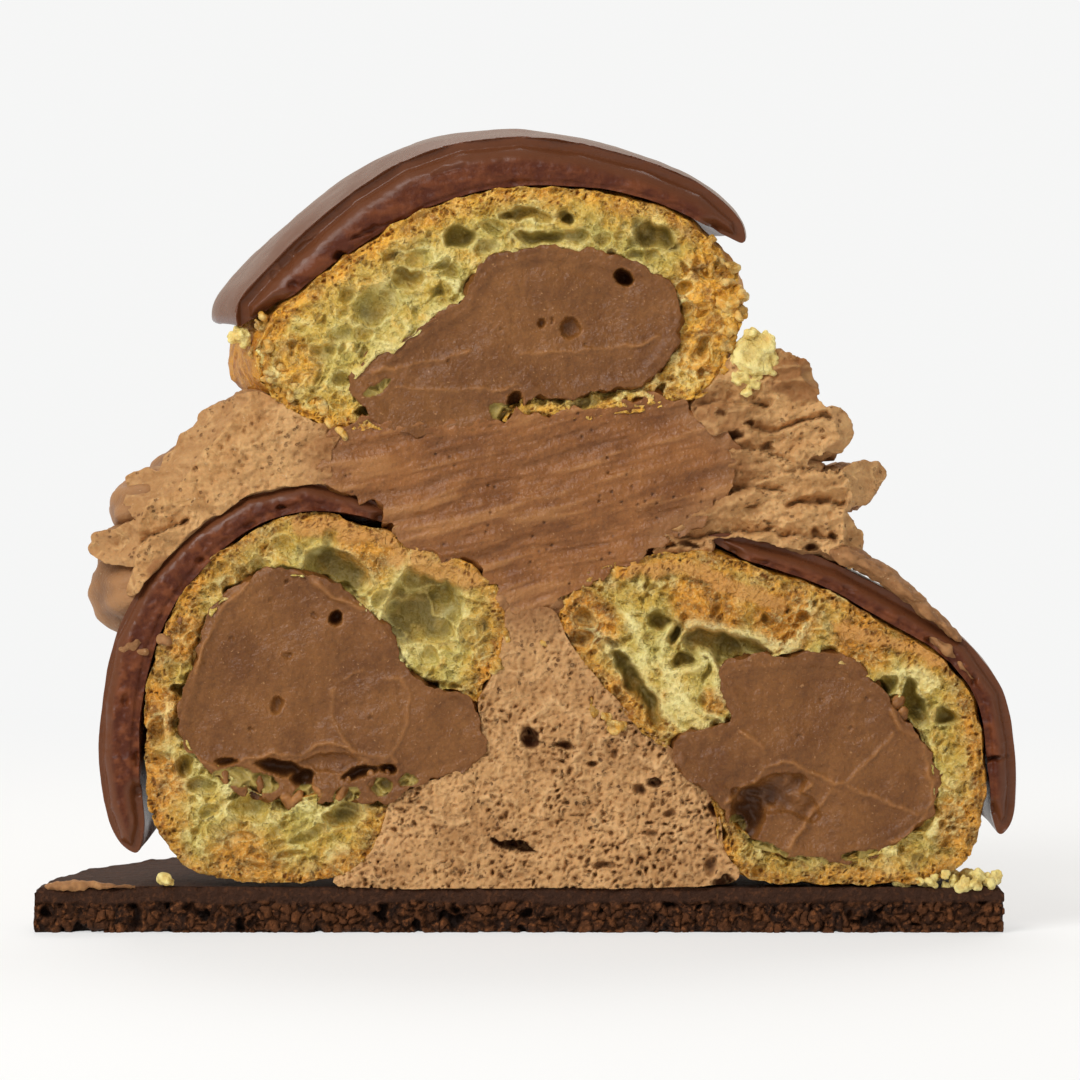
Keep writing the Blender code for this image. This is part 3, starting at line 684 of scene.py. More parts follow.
def chouxFace(outside, inside, values):
    # the cut through a bun: baked crust, then foam with large and small bubbles, torn at the filling
    seed = values["seed"]

    def relief(x, z):
        wx = x + 0.55 * flatNoise(x, z, 2.2, seed, 3)
        wz = z + 0.55 * flatNoise(x, z, 2.2, seed + 5, 3)
        rim = segmentDistance(x, z, outside)
        filling = segmentDistance(x, z, inside)
        width = values["crustWidth"] * (1 + 0.6 * flatNoise(x, z, 3.5, seed + 1, 2))
        crust = 1 - smoothStep(0.4 * width, 1.9 * width, rim + 0.35 * flatNoise(x, z, 0.9, seed + 2, 3))
        # two sizes of bubble take over from each other; some are hollow and some bulge
        first, second, own = bubbles(wx, wz * 1.2, values["foam"], seed)
        big = np.sqrt(np.clip((second - first) / 0.6, 0, 1))
        foam = big * (1.5 * own**1.6 - 0.2)
        first, second, other = bubbles(wx, wz * 1.1, values["foam"] * 0.55, seed + 2)
        mid = np.sqrt(np.clip((second - first) / 0.6, 0, 1))
        small = mid * (1.3 * other**2 - 0.12)
        share = smoothStep(-0.3, 0.35, flatNoise(x, z, 3.2, seed + 3, 2))
        share = share * (1 - crust)
        foam = foam * share + 0.7 * small * (1 - share)
        first, second, fleck = bubbles(wx, wz, values["fine"], seed + 1)
        fine = smoothStep(0.05, 0.5, second - first) * fleck
        pits, lip = pitted(wx, wz, values["pits"])
        inPit = smoothStep(0.05, 0.3, pits)
        depth = 0.1 + values["foamDepth"] * foam * (1 - 0.45 * crust) * (1 - 0.7 * inPit) + pits
        depth += values["fineDepth"] * fine * (1 - 0.7 * inPit) + 0.07 * flatNoise(x, z, 0.6, seed + 7, 3)
        depth += 0.25 * flatNoise(x, z, 4, seed + 4, 2)
        torn = 1 - smoothStep(-0.1, 0.4, filling + 0.35 * flatNoise(x, z, 1.1, seed + 8, 3))
        depth += 1.0 * torn
        depth += 0.3 * (1 - smoothStep(0, 0.35, rim))
        wide = 0.5 + 0.3 * flatNoise(x, z, 1.5, seed + 12)
        folds = np.exp(-((lineDistance(wx, wz, values["folds"]) / wide) ** 2))
        depth = depth * (1 - folds) + 0.02 * folds
        spread = lineDistance(wx, wz, values["smears"]) + 0.5 * flatNoise(x, z, 1.2, seed + 14, 3)
        smear = 1 - smoothStep(0.4, 1.1, spread)
        depth = depth * (1 - 0.7 * smear)
        light = smoothStep(-0.2, 0.6, flatNoise(x, z, 2.6, seed + 15, 2))
        webs = np.exp(-((flatNoise(wx * 0.8 + wz * 0.6, wz, 2.4, seed + 31, 2) / 0.07) ** 2))
        webs = webs * smoothStep(0.35, 1.1, depth)
        depth -= 0.22 * webs
        # the deeper hollows of the foam are painted darker: painted shade
        patchy = smoothStep(-0.3, 0.3, flatNoise(x, z, 1.6, seed + 61, 3))
        hollow = smoothStep(0.5, 2.1, depth) * (0.62 + 0.3 * patchy)
        hollow = hollow * (1 - 0.5 * webs)
        # the pores of the crust sink and are painted darker: painted shade in the pores
        pores = crust * fine * smoothStep(0.3, 0.8, fine)
        depth += 0.22 * pores
        # rims, walls, bulges, folds and webs are paler: partly thin pale foam, partly painted highlight
        edge = (1 - smoothStep(0.0, 0.22, second - first)) * (1 - crust) * (1 - inPit)
        pale = 0.25 * edge * light + 0.5 * light * smoothStep(0.1, -0.1, foam) * (1 - crust) * (1 - inPit)
        pale = np.maximum(pale, 0.6 * lip * (1 - 0.6 * crust) * (0.4 + 0.6 * light))
        pale = np.maximum(np.maximum(pale, 0.45 * folds), 0.3 * webs)
        gold = crust * (0.75 + 0.25 * flatNoise(x, z, 1.4, seed + 33, 2))
        warm = values["warmth"] * (1 - smoothStep(0.8, 4.0, rim + 1.4 * flatNoise(x, z, 2.4, seed + 35, 3)))
        for px, pz, reach, share in values["baked"]:
            warm = np.maximum(warm, share * (1 - smoothStep(0.5, 1.1, np.hypot(wx - px, wz - pz) / reach)))
        return {
            "depth": depth, "crust": np.maximum(gold, warm), "hollow": hollow, "pale": pale, "smear": smear,
            "extra": pores,
        }

    return relief


def makeBun(node, filling, values):
    body = roughened(bodyOf(node), 0.2, (0.32, 2.4, values["seed"]), (0.16, 0.8, values["seed"] + 3))
    outside, inside = splitOutline(node, filling)

    def skin(x, y, z):
        return {"crust": np.ones_like(x), "hollow": 0.25 * smoothStep(0.2, 0.9, noise(x, y, z, 1.5, 3, 2))}

    material = chouxMaterial(node + "_finish", {**chouxColours, **values["colours"]})
    carved(node, body, chouxFace(outside, inside, values), 0.125, skin, material, "choux_pastry")


for node, filling, values in (
    ("left_bun_shell", "left_bun_cream", leftBun),
    ("right_bun_shell", "right_bun_cream", rightBun),
    ("top_bun_shell", "top_bun_cream", topBun),
):
    makeBun(node, filling, values)

print("buns are cut", flush=True)

# the pastry cream in the buns
leftFilling = {
    "seed": 51, "waves": 0.55, "grit": 0.05,
    "foam": [
        (-27.0, 14.6, 2.0, 0.9, 0, 1), (-24.4, 14.0, 1.6, 0.8, -10, 1), (-20.2, 12.9, 1.4, 0.8, 0, 1),
        (-16.6, 12.8, 1.3, 0.7, 10, 1), (-13.4, 13.6, 1.0, 0.7, 0, 1), (-11.0, 14.3, 1.0, 0.6, 20, 1),
    ],
    "pits": [
        (-22.6, 15.3, 2.6, 0.75, -12, 2.0), (-20.6, 14.4, 1.1, 1.0, 20, 2.4),
        (-15.4, 14.9, 1.9, 0.7, 10, 1.6), (-12.9, 15.2, 0.8, 0.6, 0, 1.6),
        (-27.6, 16.0, 1.1, 0.4, 0, 1.2), (-18.2, 15.9, 3.2, 0.8, 4, 0.6),
        (-25.1, 13.0, 0.7, 0.9, 20, 1.4), (-17.5, 29.2, 0.83, 0.83, 0, 1.8),
        (-19.5, 29.4, 0.37, 0.37, 0, 0.33), (-23.3, 30.9, 0.37, 0.37, 0, 0.25),
        (-21.9, 32.6, 0.37, 0.37, 0, 0.33), (-22.2, 25.8, 0.37, 0.37, 0, 0.4),
        (-23.0, 21.3, 0.74, 0.74, 0, 0.8), (-27.3, 27.3, 0.28, 0.28, 0, 0.3),
        (-14.4, 19.9, 0.28, 0.28, 0, 0.3), (-25.5, 18.9, 0.28, 0.28, 0, 0.3),
    ],
    "ridges": [
        [(-32.3, 17.3), (-30.5, 16.1), (-28.1, 15.2), (-27.3, 15.5), (-25.9, 16.3), (-23.2, 16.7),
         (-22.0, 16.5), (-20.8, 16.6), (-19.5, 17.4), (-18.1, 17.7), (-17.2, 17.6), (-16.0, 17.1),
         (-14.4, 16.6), (-12.4, 16.7)],
        [(-12.4, 16.7), (-11.8, 17.6), (-11.0, 19.3), (-10.8, 21.8), (-10.9, 22.5), (-11.5, 23.4),
         (-12.4, 23.8), (-13.2, 23.8)],
        [(-12.4, 16.7), (-12.0, 15.9)],
        [(-15.0, 24.4), (-16.7, 23.7)],
        [(-17.8, 22.5), (-17.8, 20.2), (-17.3, 18.8), (-16.2, 17.4)],
        [(-21.4, 33.4), (-19.7, 33.2), (-18.9, 32.0), (-17.4, 31.0), (-15.1, 30.2)],
        [(-25.8, 32.5), (-27.4, 30.7), (-28.9, 28.6), (-29.8, 26.4), (-30.4, 24.3)],
    ],
}
rightFilling = {
    "seed": 63, "waves": 0.55, "grit": 0.05,
    "recess": [
        (22.6, 12.8, 3.3, 2.1, 20, 1.9), (20.9, 10.6, 1.7, 2.3, -10, 2.2),
        (25.6, 11.6, 2.2, 1.3, -25, 1.4),
    ],
    "foam": [
        (22.4, 7.9, 2.0, 0.7, -20, 1), (25.8, 6.6, 2.2, 0.6, -5, 1), (19.6, 9.6, 0.9, 1.3, 10, 1),
        (31, 7.2, 1.6, 0.5, 10, 1),
    ],
    "pits": [
        (30.1, 19.0, 0.28, 0.28, 0, 0.2), (27.2, 21.7, 0.28, 0.28, 0, 0.25),
        (25.4, 18.5, 0.28, 0.28, 0, 0.25), (31.6, 21.7, 0.28, 0.28, 0, 0.25),
    ],
    "ridges": [
        [(18.5, 12.1), (20.8, 13.8), (22.3, 15.3), (23.7, 15.9), (25.2, 15.6), (26.8, 14.8),
         (28.8, 13.7)],
        [(28.8, 13.7), (30.1, 14.1), (31.2, 15.5), (32.6, 17.0), (34.0, 18.7)],
        [(30.1, 13.7), (32.1, 12.8), (34.2, 11.9), (36.5, 11.0)],
        [(28.2, 13.2), (26.7, 11.0), (24.3, 8.1)],
        [(19.9, 18.8), (22.3, 17.0)],
        [(24.3, 12.8), (26.7, 13.6)],
        [(20.3, 12.8), (21.8, 12.5), (22.5, 11.4)],
        [(33.9, 20.8), (35.0, 18.8), (36.5, 17.9), (37.0, 16.1), (37.7, 14.0), (37.8, 12.1),
         (36.8, 10.3), (35.0, 8.9), (33.7, 8.5)],
    ],
}
topFilling = {
    "seed": 71, "waves": 0.5, "grit": 0.05,
    "foam": [(-13.6, 50.6, 1.6, 0.5, 35, 1), (-1.6, 48.4, 1.6, 0.7, 0, 1), (4.6, 48.2, 1.6, 0.5, 0, 1)],
    "pits": [
        (-1.0, 49.3, 0.7, 0.8, 0, 1.8), (3.2, 49.2, 0.9, 0.4, 0, 1.8), (5.2, 48.9, 1.0, 0.7, 0, 2.0),
        (8.9, 60.7, 0.92, 0.92, 0, 2.4), (1.5, 56.5, 0.46, 0.65, 0, 0.8),
        (2.5, 56.7, 0.18, 0.37, 0, 0.4), (4.2, 56.2, 0.83, 0.92, 0, 1), (6.9, 56.8, 0.18, 0.18, 0, 0.2),
        (5.5, 54.5, 0.18, 0.18, 0, 0.2), (-2.4, 55.9, 0.28, 0.18, 0, 0.2),
        (-7.0, 53.1, 0.28, 0.18, 0, 0.2),
    ],
    "ridges": [
        [(-0.5, 53.7), (5.1, 54.1), (9.7, 54.4), (12.3, 55.3)],
        [(-11.6, 50.8), (-7.0, 50.2), (-0.5, 50.7)],
        [(-14.3, 52.0), (-9.7, 52.7), (-5.1, 54.1)],
    ],
}
fillingColours = {
    "base": (0.138, 0.047, 0.009), "light": (0.21, 0.08, 0.018), "ridge": (0.42, 0.18, 0.05),
    "deep": (0.05, 0.016, 0.005), "speck": (0.33, 0.16, 0.06), "roughness": 0.38, "bump": 0.09,
    "patch": 5.0, "mottle": 0.2, "specular": 0.3, "beside": (0.40, 0.19, 0.06),
    # flank is the bun's foam where it shows through, darkened as painted shade
    "flank": (0.42, 0.31, 0.075),
}


def creamMaterial(name, values):
    made, tree, shader, place = startMaterial(name, values["roughness"], values["specular"])
    hollow, pale = masksOf(tree, "look")[1:3]
    smear, face, near = masksOf(tree, "smearFaceExtra")[:3]
    patches = grain(tree, place, values["patch"], 0.35, 0.65, 4.0, 0.55)
    colour = mixed(tree, patches, values["base"], values["light"])
    if "outside" in values:
        outer = calculated(tree, "MULTIPLY", calculated(tree, "SUBTRACT", 1.0, face), values["outside"])
        colour = mixed(tree, outer, colour, values["flank"])
    light = calculated(tree, "MULTIPLY", grain(tree, place, 0.8, 0.42, 0.72, 5.0, 0.7), values["mottle"])
    colour = mixed(tree, light, colour, values["ridge"])
    dark = calculated(tree, "MULTIPLY", grain(tree, place, 0.55, 0.48, 0.72, 4.0, 0.7), 0.3)
    colour = mixed(tree, dark, colour, values["deep"])
    colour = mixed(tree, grain(tree, place, 0.3, 0.70, 0.78, 1.0), colour, values["speck"])
    colour = mixed(tree, near, colour, values["beside"])
    colour = mixed(tree, smear, colour, values["flank"])
    colour = mixed(tree, pale, colour, values["ridge"])
    # hollow is painted shade in pits, pores, recesses, creases and sunk lumps
    colour = mixed(tree, hollow, colour, values["deep"])
    layers = [
        (grain(tree, place, 1.1, 0.3, 0.7), values["bump"]),
        (grain(tree, place, 0.3, 0.3, 0.7), values["bump"] * 0.6),
    ]
    if "pores" in values:
        # small round pores are painted dark: painted shade in the pores
        pore = calculated(tree, "SUBTRACT", 1.0, cells(tree, place, 0.75, 0.14, 0.3, "F1"))
        pore = calculated(tree, "MULTIPLY", pore, grain(tree, place, 2.2, 0.42, 0.58, 3.0))
        pore = calculated(tree, "MULTIPLY", pore, calculated(tree, "MULTIPLY", face, values["pores"]))
        calm = calculated(tree, "SUBTRACT", 1.0, near)
        pore = calculated(tree, "MULTIPLY", pore, calm)
        colour = mixed(tree, pore, colour, values["deep"])
        veins = calculated(tree, "SUBTRACT", 1.0, cells(tree, place, 1.7, 0.0, 0.16))
        veins = calculated(tree, "MULTIPLY", calculated(tree, "MULTIPLY", veins, face), calm)
        veins = calculated(tree, "MULTIPLY", veins, grain(tree, place, 1.8, 0.45, 0.65, 3.0))
        colour = mixed(tree, calculated(tree, "MULTIPLY", veins, 0.5), colour, values["ridge"])
        layers.append((calculated(tree, "SUBTRACT", calculated(tree, "MULTIPLY", veins, 0.35), pore), 0.22))
    tree.links.new(colour, shader.inputs["Base Color"])
    setBump(tree, shader, layers)
    setGlow(shader, 0.1, (1.0, 0.5, 0.25), 0.8)
    return made


def fillingFace(edge, values):
    seed = values["seed"]

    def relief(x, z):
        wx = x + 0.3 * flatNoise(x, z, 1.5, seed, 3)
        wz = z + 0.3 * flatNoise(x, z, 1.5, seed + 4, 3)
        rim = segmentDistance(x, z, edge)
        depth = 0.12 + values["waves"] * flatNoise(x * 0.8, z, 6, seed + 1, 4, 0.45)
        depth += 0.16 * flatNoise(x, z, 2.6, seed + 3, 3, 0.55)
        depth += values["grit"] * flatNoise(x, z, 1.1, seed + 2, 4, 0.7)
        pits, lip = pitted(wx, wz, values["pits"])
        broken = 0.45 + 0.55 * smoothStep(-0.4, 0.4, flatNoise(x, z, 2.0, seed + 6, 2))
        ridges = np.exp(-((lineDistance(wx, wz, values["ridges"]) / 0.2) ** 2)) * broken
        depth += pits - 0.3 * ridges
        if values.get("recess"):
            rx = x + 0.9 * flatNoise(x, z, 2.8, seed + 81, 3, 0.5)
            rz = z + 0.9 * flatNoise(x, z, 2.8, seed + 85, 3, 0.5)
            recess = pitted(rx, rz, values["recess"])[0]
            recess = recess * (0.85 + 0.35 * flatNoise(x, z, 1.6, seed + 89, 2))
            depth += recess
            pits = np.maximum(pits, 0.85 * recess)
        depth -= 0.25 * (1 - smoothStep(0, 0.9, np.abs(rim - 0.3)))
        # places where the bun's foam shows through the filling, its colour darkened as painted shade
        bare = smoothStep(0.05, 0.35, pitted(wx, wz, values["foam"])[0])
        first, second, own = bubbles(wx, wz * 1.2, 1.2, seed + 71)
        cells = smoothStep(0.0, 0.4, second - first) * own
        depth += bare * (0.35 + 0.8 * cells)
        # pits, the recess and bare foam cells are painted darker: painted shade
        hollow = np.maximum(smoothStep(0.5, 1.6, pits) * 0.85, 0.5 * bare * cells)
        return {
            "depth": depth, "hollow": hollow, "pale": np.maximum(0.55 * ridges, 0.3 * lip) * (1 - bare),
            "smear": 0.9 * bare,
        }

    return relief


def nothing(x, y, z):
    return {}  # the outside of a cream or a glaze has no masks


for node, values in (
    ("left_bun_cream", leftFilling), ("right_bun_cream", rightFilling), ("top_bun_cream", topFilling),
):
    body = roughened(bodyOf(node), 0.5, (0.55, 3.0, values["seed"]), (0.4, 1.0, values["seed"] + 8))
    carved(node, body, fillingFace(cutOutline(node), values), 0.14, nothing,
           creamMaterial(node + "_finish", fillingColours), "chocolate_pastry_cream")

print("fillings are cut", flush=True)

# the creams between the buns; fewer is where the pores grow rare, from low to high, and how many stay
centreCream = {
    "seed": 81, "grow": 0.45, "noises": [(0.12, 1.5, 5)],
    "fine": 1.0, "torn": 0.0, "grit": 0.12, "fewer": (19, 25, 0.4),
    "calm": [
        (-8.6, 18.4, 4.2, 2.6, 40, 1), (-11.6, 15.4, 1.8, 1.2, 0, 1), (16.4, 16.4, 4.4, 2.3, -40, 1),
        (18.4, 13.2, 1.6, 2.0, 0, 1),
    ],
    "pits": [
        (0.5, 18.1, 0.92, 1.1, 0, 2), (3.6, 17.5, 0.92, 0.46, 0, 1.2), (6.2, 15.8, 0.65, 0.37, 0, 1),
        (8.2, 16.6, 0.46, 0.46, 0, 0.9), (10.5, 13.4, 0.65, 0.65, 0, 1),
        (12.2, 14.0, 0.83, 0.37, 0, 1.6), (13.2, 11.2, 0.55, 0.37, 0, 0.9),
        (13.2, 12.7, 0.46, 0.28, 0, 0.7), (-10.9, 14.3, 0.74, 0.83, 0, 1.2),
        (-6.9, 15.3, 0.65, 0.37, 0, 1.3), (-6.4, 16.4, 0.55, 0.37, 0, 0.8),
        (-6.4, 14.0, 0.28, 0.28, 0, 0.25), (-4.7, 13.7, 0.37, 0.37, 0, 0.33),
        (-9.8, 12.3, 0.37, 0.46, 0, 0.33), (-1.9, 10.7, 0.37, 0.46, 0, 0.33),
        (2.9, 10.4, 0.55, 0.28, 0, 0.25), (2.9, 12.0, 0.37, 0.18, 0, 0.17),
        (0.3, 14.5, 0.37, 0.37, 0, 0.33), (4.6, 14.5, 0.46, 0.37, 0, 0.33),
        (5.9, 11.7, 0.65, 0.65, 0, 0.5), (9.8, 8.6, 0.55, 0.37, 0, 0.33),
        (11.8, 9.1, 0.65, 0.46, 0, 0.8), (12.6, 9.9, 0.37, 0.28, 0, 0.25),
        (-1.2, 8.1, 2.2, 0.46, -12, 2.4), (7.4, 6.4, 1.3, 0.37, 0, 1), (-6.4, 5.3, 0.74, 0.28, 0, 0.25),
        (3.7, 6.0, 0.37, 0.46, 0, 0.33), (0.5, 6.2, 0.37, 0.18, 0, 0.17),
        (5.9, 7.7, 0.37, 0.46, 0, 0.33), (-7.3, 8.0, 0.37, 0.18, 0, 0.17),
        (-2.2, 5.0, 0.37, 0.37, 0, 0.33), (-1.0, 5.0, 0.37, 0.28, 0, 0.25),
        (10.8, 6.7, 0.46, 0.55, 0, 0.42), (17.1, 6.3, 0.65, 0.92, 0, 1),
        (17.7, 11.5, 0.74, 0.92, 0, 1.6), (-3.1, 16.0, 0.28, 0.28, 0, 0.25),
        (-1.2, 20.9, 0.37, 0.28, 0, 0.25), (2.9, 22.3, 0.28, 0.28, 0, 0.25),
        (18.3, 4.8, 1.1, 0.55, 0, 1.6), (15.2, 14.8, 0.37, 0.28, 0, 0.25),
    ],
    "ridges": [
        [(2.3, 22.0), (4.1, 20.7), (5.0, 19.4), (4.8, 17.1), (4.6, 15.3), (5.2, 14.5)],
        [(0.1, 19.6), (1.8, 20.9), (2.3, 22.0)],
        [(-0.7, 19.2), (-0.3, 17.3)],
        [(6.1, 10.9), (7.3, 9.9), (9.0, 9.7), (9.5, 8.4), (11.6, 8.1), (12.4, 9.4), (13.3, 10.1),
         (15.0, 8.6)],
        [(3.2, 14.3), (1.8, 12.9), (1.3, 11.1)],
        [(6.9, 18.0), (8.3, 18.5), (9.7, 17.6)],
        [(10.6, 16.2), (12.0, 15.7), (13.4, 16.2)],
        [(-4.2, 12.5), (-2.4, 12.9), (-1.0, 12.0)],
        [(-8.8, 11.1), (-7.0, 10.2), (-5.1, 10.6)],
    ],
}
centreColours = {
    "base": (0.41, 0.205, 0.075), "light": (0.61, 0.34, 0.14), "ridge": (0.70, 0.42, 0.19),
    "deep": (0.09, 0.032, 0.012), "speck": (0.55, 0.34, 0.17), "roughness": 0.6, "specular": 0.15,
    "bump": 0.08, "mottle": 0.4, "patch": 4.0, "pores": 0.8,
    "beside": (0.22, 0.085, 0.028), "flank": (0.30, 0.15, 0.06),
}


def porousFace(values, beside):
    # cream full of pores, torn and creased in places; beside is the outline of the cream that it runs into
    seed = values["seed"]
    reach = 5  # so far from its neighbour the cream has its own colour again

    def side(x, z):
        # how far a place lies beyond the cut, where the outside of the piped cream shows behind it
        beyond = np.zeros_like(x)
        for way, line in values.get("sides", ()):
            heights, places = [c[1] for c in line], [c[0] for c in line]
            span = smoothStep(min(heights) - 0.5, min(heights) + 0.5, z)
            beyond = np.maximum(beyond, way * (x - np.interp(z, heights, places)) * span)
        return beyond

    def relief(x, z):
        wx = x + 0.3 * flatNoise(x, z, 1.0, seed, 2)
        wz = z + 0.3 * flatNoise(x, z, 1.0, seed + 4, 2)
        some = smoothStep(-0.45, 0.35, flatNoise(x, z, 4, seed + 9, 2)) * 0.6 + 0.4
        calm = smoothStep(0.0, 0.6, pitted(wx, wz, values["calm"])[0])
        low, high, least = values["fewer"]
        some = some * (1 - (1 - least) * smoothStep(low, high, z)) * (1 - 0.85 * calm)
        first, _, own = bubbles(wx, wz, 0.95, seed)
        pores = (1 - smoothStep(0.10, 0.30, first)) * some * smoothStep(0.1, 0.6, own)
        first = bubbles(wx, wz, 0.5, seed + 1)[0]
        fine = (1 - smoothStep(0.15, 0.4, first)) * (0.35 + 0.65 * some) * values["fine"] * (1 - 0.8 * calm)
        pits, lip = pitted(wx, wz, values["pits"])
        ridges = np.exp(-((lineDistance(wx, wz, values["ridges"]) / 0.3) ** 2))
        depth = 0.1 + 0.22 * flatNoise(x, z, 5, seed + 1, 3) + 0.09 * flatNoise(x, z, 0.8, seed + 2, 3)
        web = np.exp(-((flatNoise(wx, wz, 3.0, seed + 51, 2) / 0.05) ** 2)) * some
        grit = flatNoise(x, z, 1.4, seed + 52, 5, 0.75)
        depth += 0.75 * pores + 0.28 * fine + pits - 0.25 * ridges - 0.22 * web
        depth += values["grit"] * grit * (1 - 0.7 * calm)
        # torn places: sharp crests with smooth hollows between, drawn out almost level
        across = wz - 0.12 * wx
        folded = np.abs(flatNoise(wx * 0.42, across, 2.9, seed + 60, 3, 0.55))
        here = values["torn"] * (0.35 + 0.65 * smoothStep(8, 15, x))
        finer = np.abs(flatNoise(wx * 0.6, across, 1.2, seed + 66, 3, 0.6))
        depth += here * (1.5 * np.clip(folded, 0, 0.55) + 0.55 * np.clip(finer, 0, 0.6) - 0.45)
        crests = here * (1 - smoothStep(0.0, 0.12, folded))
        creases = 0 * x
        # each fold hangs over what lies above its line: a lip below, a hollow that fades upwards
        for line in values.get("creases", ()):
            spots, heights = [c[0] for c in line], [c[1] for c in line]
            up = wz - np.interp(wx, spots, heights)
            within = smoothStep(spots[0] - 0.8, spots[0] + 0.8, wx)
            within = within * (1 - smoothStep(spots[-1] - 0.5, spots[-1] + 0.8, wx))
            hidden = smoothStep(-0.1, 0.12, up) * np.exp(-np.clip(up, 0, 9) / 0.75) * within
            overhang = smoothStep(0.1, -0.1, up) * np.exp(np.clip(up, -9, 0) / 1.1) * within
            depth += 1.5 * hidden - 0.55 * overhang
            creases = np.maximum(creases, smoothStep(0.5, 1, hidden))
        # the cream grows browner and smoother towards its neighbour, so that the two run together
        away = segmentDistance(x, z, beside) + 1.1 * flatNoise(x * 0.5, z, 1.8, seed + 41, 3)
        near = 0.75 * (1 - smoothStep(-0.5, reach, away))
        depth = depth * (1 - 0.35 * near)
        # pits, pores, fine pores and creases are painted darker: painted shade
        hollow = np.maximum(smoothStep(0.35, 1.2, pits), 0.5 * pores * smoothStep(0.3, 1, pores))
        hollow = np.maximum(np.maximum(hollow, 0.25 * fine), 0.5 * creases)
        near = np.maximum(near, 0.75 * calm)
        ridges = np.maximum(np.maximum(ridges, 0.6 * web), 0.5 * crests)
        beyond = side(x, z)
        past = smoothStep(0, 0.25, beyond)
        waves = 0.3 * np.sin(z * 2.1 + 0.7 * beyond + 2 * flatNoise(x, z, 5, seed + 21))
        flank = 0.5 + 0.75 * beyond + waves + 0.45 * flatNoise(x, z, 2.0, seed + 22, 4, 0.6)
        depth = depth * (1 - past) + flank * past
        hollow = hollow * (1 - past)
        return {
            "depth": depth, "hollow": hollow * (1 - 0.5 * near),
            "pale": np.maximum(0.7 * ridges, 0.35 * lip), "smear": 0.4 * past, "extra": near,
        }

    return relief


body = roughened(bodyOf("centre_cream"), centreCream["grow"], *centreCream["noises"])
carved("centre_cream", body, porousFace(centreCream, cutOutline("smooth_cream")), 0.125, nothing,
       creamMaterial("centre_cream_finish", centreColours), "whipped_chocolate_cream")

smoothCream = {
    "seed": 91, "grow": 0.8, "noises": [(1.0, 3.2, 7), (0.6, 1.1, 8)],
    "way": (0.97, 0.24),  # how far the knife went to the side, and how far down to the left
    "streaks": 0.26, "waves": 0.4,
}
smoothColours = {
    "base": (0.185, 0.062, 0.013), "light": (0.285, 0.106, 0.026), "ridge": (0.42, 0.19, 0.06),
    "deep": (0.06, 0.02, 0.008), "speck": (0.36, 0.17, 0.07), "roughness": 0.36, "specular": 0.3,
    "bump": 0.09, "mottle": 0.2, "patch": 3.0, "beside": (0.30, 0.135, 0.048),
    "flank": (0.30, 0.15, 0.06),
}


def smoothFace(beside, values):
    # dragged by the knife nearly level, falling a little to the left
    seed = values["seed"]
    level, fall = values["way"]

    def relief(x, z):
        along, across = x * level + z * fall, z * level - x * fall
        bend = 0.8 * flatNoise(x, z, 9, seed + 5)
        streaks = flatNoise(along * 0.12, across + bend, 1.0, seed, 3, 0.6)
        broad = flatNoise(along * 0.3, across + bend, 4.0, seed + 3, 2)
        depth = 0.1 + values["streaks"] * streaks + values["waves"] * broad
        depth += 0.07 * flatNoise(x, z, 1.0, seed + 7, 4, 0.7)
        first = bubbles(x, z, 1.5, seed)[0]
        pits = (1 - smoothStep(0.05, 0.12, first)) * smoothStep(0.1, 0.5, flatNoise(x, z, 3, seed + 8))
        away = segmentDistance(x, z, beside) + 0.9 * flatNoise(x * 0.5, z, 1.8, seed + 41, 3)
        near = 0.75 * (1 - smoothStep(-0.5, 2.6, away))
        depth += 0.1 * near * flatNoise(x, z, 0.7, seed + 43, 3)
        # pits and the deeper streaks are painted darker: painted shade
        return {
            "depth": depth + 0.25 * pits, "hollow": 0.5 * pits + 0.25 * smoothStep(0.1, 0.9, streaks),
            "pale": 0.5 * smoothStep(0.25, 0.8, -streaks), "extra": near,
        }

    return relief


body = roughened(bodyOf("smooth_cream"), smoothCream["grow"], *smoothCream["noises"])
creams = cutOutline("piped_swirl") + cutOutline("centre_cream")
carved("smooth_cream", body, smoothFace(creams, smoothCream), 0.13, nothing,
       creamMaterial("smooth_cream_finish", smoothColours), "whipped_chocolate_cream")

